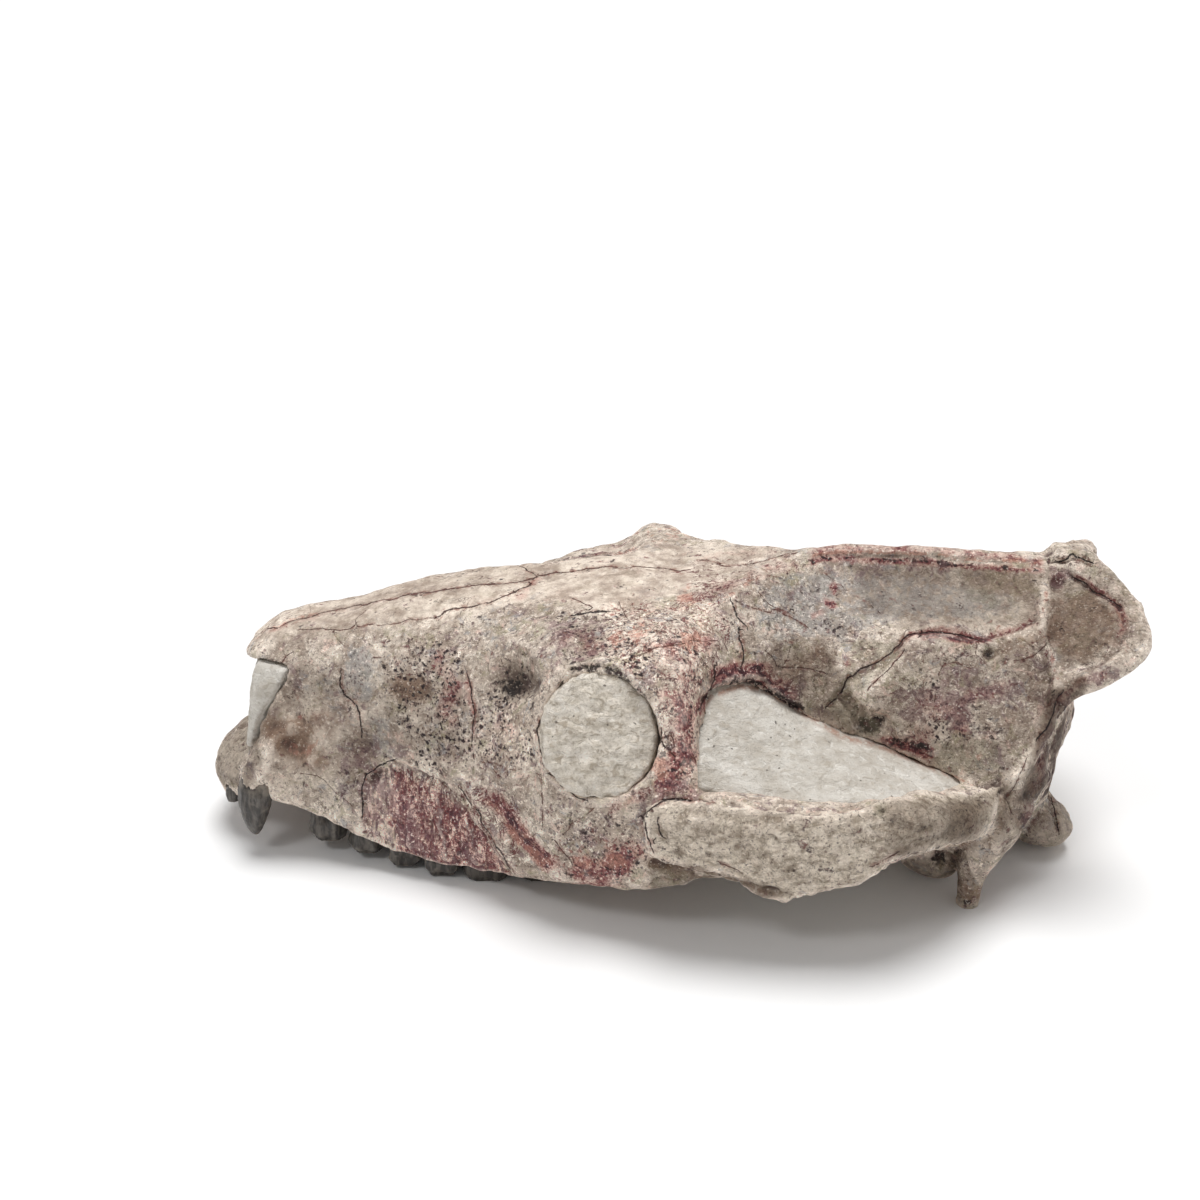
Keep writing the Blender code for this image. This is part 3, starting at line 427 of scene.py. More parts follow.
def bar_rings(table, side):
    """Rings round a flat bar of the cheek arch, with its lower outer edge drawn in."""
    xs = [row[0] for row in table]
    at = np.linspace(xs[0], xs[-1], 3 * len(table))
    rings = []
    for x, (outer, inner, low, high) in zip(at, smooth_rows([row[1:] for row in table], at, xs)):
        cy, cz, ry, rz = (outer + inner) / 2, (low + high) / 2, (outer - inner) / 2, (high - low) / 2
        ring = []
        for k in range(24):
            a = 2 * math.pi * k / 24
            c, s = math.cos(a), math.sin(a)
            bulge = math.copysign(abs(c) ** 0.7, c)
            rise = math.copysign(abs(s) ** 0.6, s)
            ring.append((x, side * (cy + ry * bulge * (1 - 0.28 * max(-rise, 0))), cz + rz * rise))
        rings.append(ring)
    return rings


def plate_rings(side):
    """Rings round the neck crest's plate, one at each of the rim's first points, about 5 mm thick."""
    rings = []
    for i, root in enumerate(PLATE_ROOT):
        rim, root = Vector(RIM[i][:3]), Vector(root)
        along = Vector(RIM[i + 1][:3]) - Vector(RIM[max(i - 1, 0)][:3])
        across = (rim - root).normalized()
        thick = along.cross(across).normalized()
        ring = []
        for t, half in ((0, 3.4), (0.34, 2.7), (0.67, 2.3), (1, 2.4)):
            ring.append(root + (rim - root) * t + thick * half)
        for t, half in ((1, 2.4), (0.67, 2.3), (0.34, 2.7), (0, 3.4)):
            ring.append(root + (rim - root) * t - thick * half)
        rings.append([(p.x, side * p.y, p.z) for p in ring])
    return rings


def bones(collection, voxel=VOXEL, passes=3):
    """The cranium before its sockets are cut: every bone welded into one closed skin."""
    parts = [loft("body", body_rings(), collection)]
    for side in (-1, 1):
        parts.append(loft("cheekbone", bar_rings(CHEEKBONE, side), collection))
        parts.append(loft("slab", bar_rings(SLAB, side), collection))
        parts.append(tube("crest_rim", RIM, collection, side))
        parts.append(loft("crest_plate", plate_rings(side), collection))
        # The bony shelf that carries the cheek teeth.
        shelf = []
        for x in np.linspace(-66, 8.5, 24):
            neck = np.interp(x, [p[0] for p in NECK_Z], [p[1] for p in NECK_Z])
            outer = np.interp(x, [c[1] for c in CHEEK], [c[2] for c in CHEEK])
            width = np.interp(x, [c[1] for c in CHEEK], [c[4] for c in CHEEK]) + 4.4
            end = 1 if x > -66 and x < 8.5 else 0.5
            ring = []
            for k in range(16):
                a = 2 * math.pi * k / 16
                c, s = math.cos(a), math.sin(a)
                ring.append(
                    (
                        x,
                        side * (outer + 2.2 - width / 2 + end * width / 2 * math.copysign(abs(c) ** 0.6, c)),
                        neck + 8 + end * 8 * math.copysign(abs(s) ** 0.7, s),
                    )
                )
            shelf.append(ring)
        parts.append(loft("tooth_shelf", shelf, collection))
        # Condyles, ear capsules, and the paroccipital processes that end flat on the table.
        parts.append(ball("condyle", (100.0, 11.4, 6.2), (8.0, 7.8, 5.6), collection, side, (0, 18, 18)))
        parts.append(ball("condyle_neck", (91, 9.5, 10.6), (12, 8.5, 6.4), collection, side, (0, 0, 8)))
        parts.append(ball("ear_capsule", (73.4, 26.2, 10), (8.6, 6.6, 9.4), collection, side, (0, 0, -14)))
        parts.append(
            tube(
                "paroccipital",
                [(85, 33.6, 26, 7), (82.4, 34.8, 18, 6.2), (80.6, 35.4, 11.6, 4.6), (79.8, 35.8, 6.4, 3.1), (79.5, 36, 3, 2.7), (79.3, 36, -1.6, 2.5)],
                collection,
                side,
            )
        )
        # Front of the ear opening, where the arch meets the skull base.
        parts.append(ball("joint_root", (71, 36.5, 21.5), (10, 8.4, 5.6), collection, side, (0, 0, 18)))
        # Flange behind the palate.
        parts.append(
            tube("pterygoid", [(8, 16, 16, 4.2), (18, 13.4, 13.2, 3.4), (28, 11.4, 13.6, 3.2), (40, 11, 16.8, 3)], collection, side)
        )
        # The root of the canine swells the muzzle.
        parts.append(tube("canine_root", [(-76.4, 18.4, 16.6, 4.6), (-72.4, 18.2, 24, 4.4), (-65.6, 17.2, 32, 3.4)], collection, side))
    parts.append(ball("skull_base", (84, 0, 12), (20, 12, 6), collection, 1))
    # The nasal bones jut out over the nose opening.
    tip = []
    for x, half, top, low in ((-69, 11.5, 49.0, 44.6), (-73, 11.2, 48.2, 44.4), (-76.4, 10.2, 46.6, 43.4), (-79, 8.0, 45.2, 42.2), (-80.6, 4.4, 43.8, 42.0)):
        over = [(-1, 0.25), (-0.86, 0.72), (-0.45, 0.95), (0, 1), (0.45, 0.95), (0.86, 0.72), (1, 0.25)]
        ring = [(x, half * a, low + (top - low) * b) for a, b in over]
        ring += [(x, half * a, low - 0.9 + (top - low) * 0.35 * (1 - a * a)) for a in (0.8, 0.4, 0, -0.4, -0.8)]
        tip.append(ring)
    parts.append(loft("nasal_tip", tip, collection))
    skull = joined("bones", parts, collection)
    return welded(skull, voxel, passes, collection)


def with_hollows(skull, voxel, passes, collection):
    """The welded bones with the face's shallow hollows pressed in, and the skin made even again."""
    tools = []
    for side in (-1, 1):
        for k, (middle, radii, turn) in enumerate(HOLLOWS):
            tools.append(ball(f"hollow_{k}", middle, radii, collection, side, turn))
    done = cut(skull, tools, collection)
    for tool in tools:
        drop(tool)
    return welded(done, voxel, passes, collection)


def table_cutter(collection):
    """A block under the table's level, sized to cut the paroccipital tips flat; nothing in this script cuts with it."""
    bm = bmesh.new()
    bmesh.ops.create_cube(bm, size=1)
    bm.transform(Matrix.Translation((0, 0, -10 * MM)) @ Matrix.Diagonal((0.3, 0.2, 20 * MM, 1)))
    mesh = bpy.data.meshes.new("table_level")
    bm.to_mesh(mesh)
    bm.free()
    return bpy_object("table_level", mesh, collection)


def back_hole(collection):
    """The hole for the spinal cord, between the condyles."""
    return tube("spinal_hole", [(118, 0, 20, 6.4), (104, 0, 20.4, 6.0), (92, 0, 21, 4.6)], collection, 1)


# ---------------------------------------------------------------- teeth and fillings


def fossa_rings(side):
    xs = [row[0] for row in FOSSA]
    at = np.linspace(xs[0], xs[-1], 20)
    rings = []
    for x, row in zip(at, smooth_rows([np.ravel(r[1:]) for r in FOSSA], at, xs)):
        a, b, c, d = row.reshape(4, 2)
        ring = []
        for p, q in ((a, b), (b, c), (c, d), (d, a)):
            for t in (0.0, 0.25, 0.5, 0.75):
                y, z = p + (q - p) * t
                if p is a:
                    z += 0.7 * math.sin(math.pi * t)
                ring.append((x, side * y, z))
        rings.append(ring)
    return rings


def orbit_rings(side, reach_out, reach_in, dome=0.0, grow=0.0):
    """Rings down the orbit's own axis, from reach_out in front of its mouth to reach_in behind it."""
    up = math.radians(ORBIT_UP)
    middle = Vector(ORBIT_MIDDLE)
    out, rise = Vector((0, math.cos(up), math.sin(up))), Vector((0, -math.sin(up), math.cos(up)))
    depths = [(reach_out + dome, 0.3), (reach_out + dome * 0.7, 0.62), (reach_out, 0.96)] if dome else [(reach_out, 1.0)]
    depths += [(0.0 if reach_out > 0 else reach_out - 2, 1.0), (reach_in * 0.5, 0.97), (reach_in, 0.8)]
    rings = []
    for depth, size in depths:
        ring = []
        for k in range(24):
            a = 2 * math.pi * k / 24
            p = middle + out * depth + Vector((1, 0, 0)) * (ORBIT_WIDE + grow) * size * math.cos(a)
            p += rise * (ORBIT_HIGH + grow) * size * math.sin(a)
            ring.append((p.x, side * p.y, p.z))
        rings.append(ring)
    return rings


def filling(name, side, collection):
    """The rock in one orbit and temporal opening, in one piece behind the postorbital bar."""
    parts = [
        loft("orbit_rock", orbit_rings(side, -1.6, -13, dome=0.9), collection),
        tube("passage_rock", PASSAGE, collection, side, 6),
        loft("fossa_rock", fossa_rings(side), collection),
    ]
    rock = welded(joined(name, parts, collection), 1.0, 5, collection)
    return thinned(rock, FILL_TRIANGLES, collection)


def nose_plug(collection):
    """Rock that plugs the nose opening and stands a little out of it."""
    rings = []
    # z, front X, X of the bone's edge at the side, half width at that edge
    for z, front, edge, half in (
        (24.4, -80.2, -78.2, 15.6),
        (26.4, -80.0, -77.6, 16.6),
        (30.0, -79.2, -76.8, 16.5),
        (33.0, -78.8, -75.4, 16.9),
        (37.0, -78.3, -72.8, 16.5),
        (41.0, -77.6, -70.2, 15.4),
        (43.2, -76.6, -69.0, 14.0),
    ):
        outline = [(front, 0.42), (front + 0.6, 0.74), ((front + edge) / 2, 0.95), (edge, 1.0), (edge + 1.6, 0.86), (-66, 0.66)]
        right = [(x, half * share, z) for x, share in outline]
        rings.append(right + [(x, -y, z) for x, y, z in reversed(right)])
    return loft("matrix_nasal", rings, collection)


def canine(name, side, collection):
    """A stout canine: three-sided in section, bent a little back, worn to a blunt point."""
    rows = [  # z, middle X, middle y, half length, half width
        (22.5, -73.6, 17.6, 4.0, 3.0),
        (18.6, -75.2, 18.8, 4.4, 3.5),
        (15.6, -76.2, 19.4, 4.3, 3.6),
        (12.0, -76.9, 19.8, 3.7, 3.2),
        (8.8, -77.2, 20.0, 2.8, 2.5),
        (6.2, -77.5, 20.0, 1.8, 1.7),
        (5.0, -77.6, 20.0, 0.9, 0.9),
    ]
    rings = []
    for z, x, y, length, width in rows:
        ring = []
        for k in range(10):
            a = 2 * math.pi * k / 10
            r = 1 + 0.14 * math.cos(3 * a)
            ring.append((x - length * r * math.cos(a), side * (y + width * r * math.sin(a)), z))
        rings.append(ring)
    return loft(name, rings, collection)


def incisor(name, side, collection):
    rows = [(16.0, -82.6, 10.4, 2.0, 1.8), (12.4, -83.6, 11.0, 2.2, 2.0), (10.2, -84.2, 11.4, 2.0, 1.8), (8.4, -84.4, 11.6, 1.3, 1.2)]
    rings = []
    for z, x, y, length, width in rows:
        rings.append(
            [(x + length * math.cos(2 * math.pi * k / 10), side * (y + width * math.sin(2 * math.pi * k / 10)), z) for k in range(10)]
        )
    return loft(name, rings, collection)


def cheek_tooth(name, x, outer, length, width, end, neck, side, collection):
    """A crescent-cusped cheek tooth: a waisted outer wall with three ribs, and a flat worn end."""
    rings = []
    top = neck + (4.6 if width > 7 else 3.8)
    premolar = name.startswith("premolar")
    for share, swell in ((0.0, 0.76), (0.5, 0.96), (0.8, 0.98), (1.0, 0.8 if premolar else 0.88)):
        z = top + (end - top) * share
        ring = []
        for k in range(12):
            a = 2 * math.pi * (k + 0.5) / 12
            c, s = math.cos(a), math.sin(a)
            rib = 1 + 0.05 * math.cos(6 * a)
            px = x + swell * rib * length / 2 * math.copysign(abs(c) ** 0.62, c) * (0.9 - 0.1 * s if width < 8 else 1)
            py = outer - width / 2 + swell * rib * width / 2 * math.copysign(abs(s) ** 0.62, s)
            ring.append((px, side * py, z))
        rings.append(ring)
    return loft(name, rings, collection)


def trough(side, collection):
    """The groove in the jaw that holds one row of cheek teeth, with clearance all round them."""
    rings = []
    first, last = CHEEK[0], CHEEK[-1]
    xs = [first[1] - first[3] / 2 - 0.5] + [c[1] for c in CHEEK] + [last[1] + last[3] / 2 + 0.5]
    for x in xs:
        outer = np.interp(x, [c[1] for c in CHEEK], [c[2] for c in CHEEK]) + 0.75
        width = np.interp(x, [c[1] for c in CHEEK], [c[4] for c in CHEEK]) + 1.5
        top = np.interp(x, [p[0] for p in NECK_Z], [p[1] for p in NECK_Z]) + 5.4
        rings.append(
            [(x, side * outer, -4), (x, side * outer, top - 1), (x, side * (outer - 1.2), top)]
            + [(x, side * (outer - width + 1.2), top), (x, side * (outer - width), top - 1), (x, side * (outer - width), -4)]
        )
    return loft("tooth_trough", rings, collection)


def cut(obj, cutters, collection):
    for k, cutter in enumerate(cutters):
        boolean = obj.modifiers.new(f"cut_{k:02d}", "BOOLEAN")
        boolean.operation = "DIFFERENCE"
        boolean.object = cutter
    done = as_mesh(obj, collection)
    largest_body(done)
    return done


# ---------------------------------------------------------------- the camera, which is also the projector of the marks

TURN, DIP, FOCAL = math.radians(1.5), math.radians(23.0), 1500.0  # FOCAL in pixels of a 1200 x 1200 image
CAMERA = np.array([7.67107067 - X_MIDDLE, -309.06139994, 185.74810292])  # mm
RIGHT = np.array([math.cos(TURN), math.sin(TURN), 0.0])
AHEAD_FLAT = np.array([-math.sin(TURN), math.cos(TURN), 0.0])
AHEAD = AHEAD_FLAT * math.cos(DIP) - np.array([0, 0, 1.0]) * math.sin(DIP)
ABOVE = AHEAD_FLAT * math.sin(DIP) + np.array([0, 0, 1.0]) * math.cos(DIP)


def projected(p):
    """Pixel x, pixel y and depth in mm of points given in mm."""
    d = p - CAMERA
    depth = d @ AHEAD
    return 600 + FOCAL * (d @ RIGHT) / depth, 600 - FOCAL * (d @ ABOVE) / depth, depth


# ---------------------------------------------------------------- noise


def lattice(i, j, k, seed):
    with np.errstate(over="ignore"):
        h = i.astype(np.uint32) * np.uint32(374761393) + j.astype(np.uint32) * np.uint32(668265263)
        h = h + k.astype(np.uint32) * np.uint32(2246822519) + np.uint32((seed * 3266489917 + 12345) & 0xFFFFFFFF)
        h = (h ^ (h >> np.uint32(13))) * np.uint32(1274126177)
        h = (h ^ (h >> np.uint32(16))) * np.uint32(2654435761)
        h = h ^ (h >> np.uint32(15))
    return h.astype(np.float64) / 2147483647.5 - 1.0


def noise(p, size, seed, octaves=1, gain=0.5):
    """Smooth noise from about -1 to 1 at points in mm, with lumps of about size mm."""
    total, amount, norm = np.zeros(len(p)), 1.0, 0.0
    for octave in range(octaves):
        q = p / size * 2.0**octave + 17.31 * (octave + 1)
        base = np.floor(q).astype(np.int64)
        f = q - base
        f = f * f * f * (f * (f * 6 - 15) + 10)
        value = np.zeros(len(p))
        for dx in (0, 1):
            wx = f[:, 0] if dx else 1 - f[:, 0]
            for dy in (0, 1):
                wy = f[:, 1] if dy else 1 - f[:, 1]
                for dz in (0, 1):
                    wz = f[:, 2] if dz else 1 - f[:, 2]
                    value += wx * wy * wz * lattice(base[:, 0] + dx, base[:, 1] + dy, base[:, 2] + dz, seed + octave)
        total += amount * value
        norm += amount
        amount *= gain
    return total / norm * 1.5


def cells(p, size, seed):
    """Distance from each point to the nearest of a scatter of points about size mm apart, in mm."""
    q = p / size
    base = np.floor(q).astype(np.int64)
    best = np.full(len(p), 9.0)
    for dx in (-1, 0, 1):
        for dy in (-1, 0, 1):
            for dz in (-1, 0, 1):
                c = base + (dx, dy, dz)
                o = np.stack([lattice(c[:, 0], c[:, 1], c[:, 2], seed + n) for n in (0, 1, 2)], 1) * 0.5 + 0.5
                best = np.minimum(best, ((c + o - q) ** 2).sum(1))
    return np.sqrt(best) * size


def step(x, a, b):
    t = np.clip((x - a) / (b - a), 0, 1)
    return t * t * (3 - 2 * t)


# ---------------------------------------------------------------- marks in the photograph's pixels


def to_line(x, y, points):
    """Distance to a line of points, and which side of it each pixel lies on."""
    best, side = np.full(len(x), 1e9), np.zeros(len(x))
    for (ax, ay), (bx, by) in zip(points, points[1:]):
        ux, uy = bx - ax, by - ay
        length = math.hypot(ux, uy) or 1e-9
        t = np.clip(((x - ax) * ux + (y - ay) * uy) / length**2, 0, 1)
        d = np.hypot(x - ax - t * ux, y - ay - t * uy)
        s = (ux * (y - ay) - uy * (x - ax)) / length
        nearer = d < best
        best = np.where(nearer, d, best)
        side = np.where(nearer, s, side)
    return best, side


def in_area(x, y, points, soft):
    """1 inside an outline and 0 outside it, with an edge soft pixels wide."""
    d, _ = to_line(x, y, points + points[:1])
    inside = np.zeros(len(x), bool)
    n = len(points)
    for i in range(n):
        (ax, ay), (bx, by) = points[i], points[(i + 1) % n]
        if ay == by:
            continue
        inside ^= ((ay > y) != (by > y)) & (x < (bx - ax) * (y - ay) / (by - ay) + ax)
    return step(np.where(inside, d, -d), -soft / 2, soft / 2)


def stamped(x, y, marks):
    """Sum of marks: ("line", points, half width, amount), ("spot", (x, y), radius, amount) or ("area", points, soft edge, amount)."""
    out = np.zeros(len(x))
    for kind, place, size, amount in marks:
        pts = [place] if kind == "spot" else list(place)
        xs, ys = [q[0] for q in pts], [q[1] for q in pts]
        reach = size * 2.6 + 4
        near = (x > min(xs) - reach) & (x < max(xs) + reach) & (y > min(ys) - reach) & (y < max(ys) + reach)
        if not near.any():
            continue
        px, py = x[near], y[near]
        if kind == "line":
            out[near] += amount * np.exp(-((to_line(px, py, pts)[0] / size) ** 2))
        elif kind == "spot":
            out[near] += amount * np.exp(-(((px - pts[0][0]) ** 2 + (py - pts[0][1]) ** 2) / size**2))
        else:
            out[near] += amount * in_area(px, py, pts, size)
    return out


SLAB_AREA = [(646, 806), (660, 802), (700, 804), (745, 809), (790, 814), (832, 817), (864, 811), (892, 800), (925, 796), (975, 794), (1000, 790),
             (985, 830), (940, 845), (912, 848), (880, 868), (850, 889), (800, 892), (790, 900), (770, 891), (745, 878), (720, 868), (690, 863),
             (662, 858), (652, 850), (648, 830)]
ROOT_AREA = [(362, 800), (370, 774), (392, 762), (420, 772), (445, 785), (468, 812), (490, 842), (514, 880), (470, 880), (430, 872), (395, 856), (365, 834)]
PLATE_AREA = [(905, 640), (917, 634), (945, 634), (975, 640), (985, 665), (960, 700), (940, 760), (900, 742), (888, 715), (866, 706), (868, 690), (885, 672), (900, 655)]
ORBIT_RIM = [(598, 670), (622, 678), (644, 702), (656, 735), (652, 768), (632, 793), (600, 802), (572, 796), (556, 780), (546, 765), (541, 738), (548, 706), (562, 684), (580, 674), (598, 670)]

# How far the bone's surface is pushed out, in mm.
RELIEF = [
    ("area", SLAB_AREA, 2.0, 1.3),
    ("line", [(646, 806), (647, 830), (654, 852), (690, 863), (745, 878)], 3, 0.25),
    ("area", PLATE_AREA, 4, 0.6),
    ("line", [(652, 862), (690, 866), (730, 872), (770, 884), (796, 892)], 2.2, -0.8),
    ("line", [(700, 868), (740, 878), (775, 888), (797, 897)], 2.6, 0.7),
    ("line", [(214, 764), (226, 752), (240, 748), (250, 740)], 2.4, -0.6),
    ("line", [(222, 732), (236, 728), (246, 724)], 2.2, -0.6),
    ("line", [(226, 776), (238, 764), (250, 760)], 2.4, 0.5),
    ("area", ROOT_AREA, 5, -1.2),
    ("line", [(402, 785), (410, 850)], 7, 0.7),
    ("line", [(434, 795), (444, 862)], 7, 0.8),
    ("line", [(466, 822), (480, 872)], 6, 0.7),
    ("spot", (514, 684), 21, -2.4),
    ("line", [(472, 656), (486, 644), (503, 640), (522, 643), (537, 655)], 6, 0.7),
    ("line", ORBIT_RIM, 6, 0.5),
    ("line", [(560, 672), (580, 664), (600, 662), (622, 668), (642, 688)], 5, 0.6),
    ("line", [(572, 668), (600, 666), (628, 678), (646, 700), (655, 722)], 2.4, -0.9),
    ("line", [(563, 683), (556, 695), (549, 708), (543, 722), (539, 732)], 2.2, -0.8),
    ("spot", (588, 644), 17, -1.0),
    ("line", [(300, 770), (320, 748), (345, 728), (372, 712), (390, 700)], 12, 0.9),
    ("spot", (290, 738), 20, -1.0),
    ("spot", (364, 758), 22, -1.1),
    ("spot", (346, 790), 15, -0.5),
    ("spot", (328, 688), 24, -0.5),
    ("spot", (410, 692), 22, -1.1),
    ("line", [(447, 762), (466, 786), (484, 812), (500, 840), (517, 870)], 5, 0.8),
    ("line", [(755, 572), (739, 588), (731, 603), (734, 618), (745, 632)], 8, 0.6),
    ("line", [(712, 690), (728, 680), (748, 676), (764, 680), (782, 694), (802, 704)], 5, 0.8),
    ("line", [(708, 700), (718, 689), (745, 683), (762, 686), (780, 701), (800, 710)], 3, -1.0),
    ("spot", (875, 723), 11, -2.6),
    ("area", [(836, 700), (850, 692), (864, 706), (872, 736), (856, 726)], 5, -1.2),
    ("line", [(906, 640), (882, 662), (850, 680), (838, 695), (830, 705)], 4, -0.9),
    ("line", [(917, 634), (950, 632), (978, 638), (1005, 632), (1035, 620)], 3.5, -0.7),
    ("line", [(978, 648), (980, 660), (990, 664), (999, 656), (996, 646), (986, 644), (978, 648)], 3, 0.5),
    ("spot", (988, 655), 5, -1.0),
    ("line", [(812, 557), (860, 555), (920, 557), (1000, 561), (1040, 565)], 3, -0.55),
        ("line", [(1046, 590), (1041, 615), (1046, 640), (1052, 662), (1060, 690), (1052, 718), (1040, 740), (1022, 770), (1005, 790)], 5, 0.9),
    ("spot", (1056, 582), 9, -1.6),
    ("spot", (1060, 551), 8, 0.7),
    ("spot", (1088, 554), 8, 0.6),
    ("line", [(1050, 560), (1064, 560), (1078, 556), (1092, 562)], 2.4, -0.9),
    ("line", [(1070, 577), (1095, 590), (1118, 605), (1123, 630), (1117, 650), (1090, 668)], 4, -0.8),
    ("spot", (940, 857), 9, -2.4),
    ("line", [(958, 846), (966, 872), (972, 886)], 4, -0.6),
    ("line", [(1049, 792), (1055, 812), (1060, 830)], 3, -0.7),
    ("spot", (1022, 815), 10, -1.2),
    ("line", [(1000, 800), (1004, 822), (996, 850)], 4, 0.7),
    ("line", [(1060, 700), (1056, 730), (1050, 770)], 4, -0.8),
    ("spot", (878, 816), 7, -0.8),
    ("spot", (660, 832), 7, -0.6),
    ("line", [(480, 768), (520, 778), (540, 800), (560, 850)], 10, 0.4),
    ("spot", (700, 640), 16, -0.4),
    ("line", [(690, 668), (700, 655), (716, 640)], 5, 0.5),
]

# Lines of cracks and sutures: points, half width in pixels, depth in mm.
CRACKS = [
    ([(264, 632), (285, 623), (305, 618), (330, 612), (353, 607), (394, 598), (430, 592), (465, 587), (500, 583), (532, 580)], 0.7, 0.30),
    ([(535, 578), (560, 572), (590, 569), (620, 567), (650, 568), (690, 571)], 0.7, 0.28),
    ([(436, 618), (450, 609), (470, 606), (490, 602), (510, 595), (530, 585), (536, 578), (530, 572), (520, 566)], 0.8, 0.35),
    ([(300, 631), (340, 629), (380, 625), (410, 620), (436, 618)], 0.5, 0.22),
    ([(574, 615), (585, 613), (596, 611), (607, 611)], 1.2, 0.5),
    ([(570, 598), (580, 602), (592, 606)], 0.6, 0.2),
    ([(616, 600), (624, 612), (628, 617)], 0.5, 0.15),
    ([(628, 598), (635, 609)], 0.5, 0.15),
    ([(340, 672), (341, 684), (346, 694), (355, 700), (360, 712), (361, 725), (363, 735)], 1.1, 0.45),
    ([(333, 633), (340, 642), (347, 650)], 0.4, 0.15),
    ([(355, 632), (356, 620), (366, 611)], 0.4, 0.12),
    ([(362, 815), (362, 800), (363, 788), (368, 775), (378, 765), (394, 760)], 1.0, 0.5),
    ([(394, 678), (410, 675), (425, 670), (434, 667)], 0.5, 0.2),
    ([(367, 668), (371, 656), (382, 657)], 0.5, 0.2),
    ([(467, 670), (471, 688), (473, 700), (474, 712), (471, 725), (473, 740), (474, 757)], 0.8, 0.4),
    ([(482, 763), (500, 766), (520, 770), (540, 774), (542, 790), (543, 815), (543, 829)], 0.6, 0.25),
    ([(563, 683), (556, 695), (549, 708), (543, 719), (538, 731), (541, 745), (542, 764)], 1.1, 0.4),
    ([(548, 772), (556, 775), (561, 784), (570, 794), (585, 800)], 0.9, 0.4),
    ([(493, 771), (500, 778)], 0.9, 0.3),
    ([(595, 806), (585, 815), (575, 822), (560, 834)], 0.5, 0.2),
    ([(553, 839), (560, 848), (570, 862)], 0.8, 0.3),
    ([(458, 788), (470, 802), (482, 820), (495, 842), (508, 866), (514, 878)], 0.8, 0.4),
    ([(640, 816), (648, 811), (656, 803), (672, 801), (700, 801), (712, 802)], 1.2, 0.6),
    ([(643, 818), (646, 836), (654, 851)], 0.9, 0.4),
    ([(657, 820), (659, 834), (663, 838)], 1.0, 0.4),
    ([(662, 730), (661, 741), (668, 751), (674, 757)], 1.1, 0.4),
    ([(671, 735), (676, 748)], 0.9, 0.3),
    ([(700, 713), (704, 702), (711, 692), (714, 680), (716, 664)], 1.0, 0.4),
    ([(692, 758), (698, 768)], 0.8, 0.3),
    ([(732, 600), (734, 612), (740, 620), (746, 627)], 1.2, 0.5),
    ([(738, 628), (739, 640), (744, 647), (746, 656), (743, 664)], 1.1, 0.5),
    ([(757, 591), (770, 603), (785, 613), (798, 622), (808, 628)], 0.6, 0.2),
    ([(742, 605), (765, 612), (788, 616)], 0.4, 0.12),
    ([(796, 630), (791, 645), (786, 664)], 0.5, 0.18),
    ([(758, 648), (770, 656), (778, 667), (800, 669), (827, 672)], 0.7, 0.3),
    ([(778, 640), (790, 645)], 0.4, 0.12),
    ([(815, 565), (828, 578), (850, 590), (872, 606), (888, 618)], 0.4, 0.12),
    ([(917, 634), (905, 637), (897, 648), (882, 660), (862, 669), (848, 679), (842, 690), (836, 698), (826, 707)], 1.0, 0.4),
    ([(917, 634), (935, 633), (955, 634), (975, 639), (981, 642)], 0.9, 0.4),
    ([(905, 650), (892, 668), (868, 688)], 0.8, 0.3),
    ([(933, 722), (935, 700), (937, 680), (945, 665), (958, 661), (972, 668)], 0.5, 0.2),
    ([(1000, 660), (1020, 661), (1038, 652), (1047, 645)], 0.6, 0.25),
    ([(976, 645), (977, 656), (984, 663)], 0.6, 0.25),
    ([(1072, 577), (1090, 588), (1105, 598), (1119, 606)], 1.0, 0.4),
    ([(1049, 792), (1055, 812), (1060, 830)], 0.9, 0.4),
    ([(1060, 560), (1072, 556), (1083, 560), (1094, 562)], 1.3, 0.5),
    ([(1038, 740), (1046, 728), (1056, 706), (1062, 692)], 1.0, 0.4),
    ([(1012, 815), (1006, 800), (1018, 780), (1026, 760)], 0.6, 0.3),
    ([(872, 868), (885, 861), (898, 853)], 0.8, 0.2),
    ([(720, 863), (735, 868), (742, 872)], 0.9, 0.25),
    ([(290, 652), (278, 672), (266, 694), (258, 714)], 0.8, 0.3),
    ([(640, 655), (665, 648), (690, 640), (708, 641), (722, 640), (728, 655)], 0.6, 0.25),
    ([(300, 772), (320, 776), (345, 800), (360, 812)], 0.4, 0.15),
    ([(700, 560), (730, 566), (770, 560), (800, 553)], 0.5, 0.15),
]
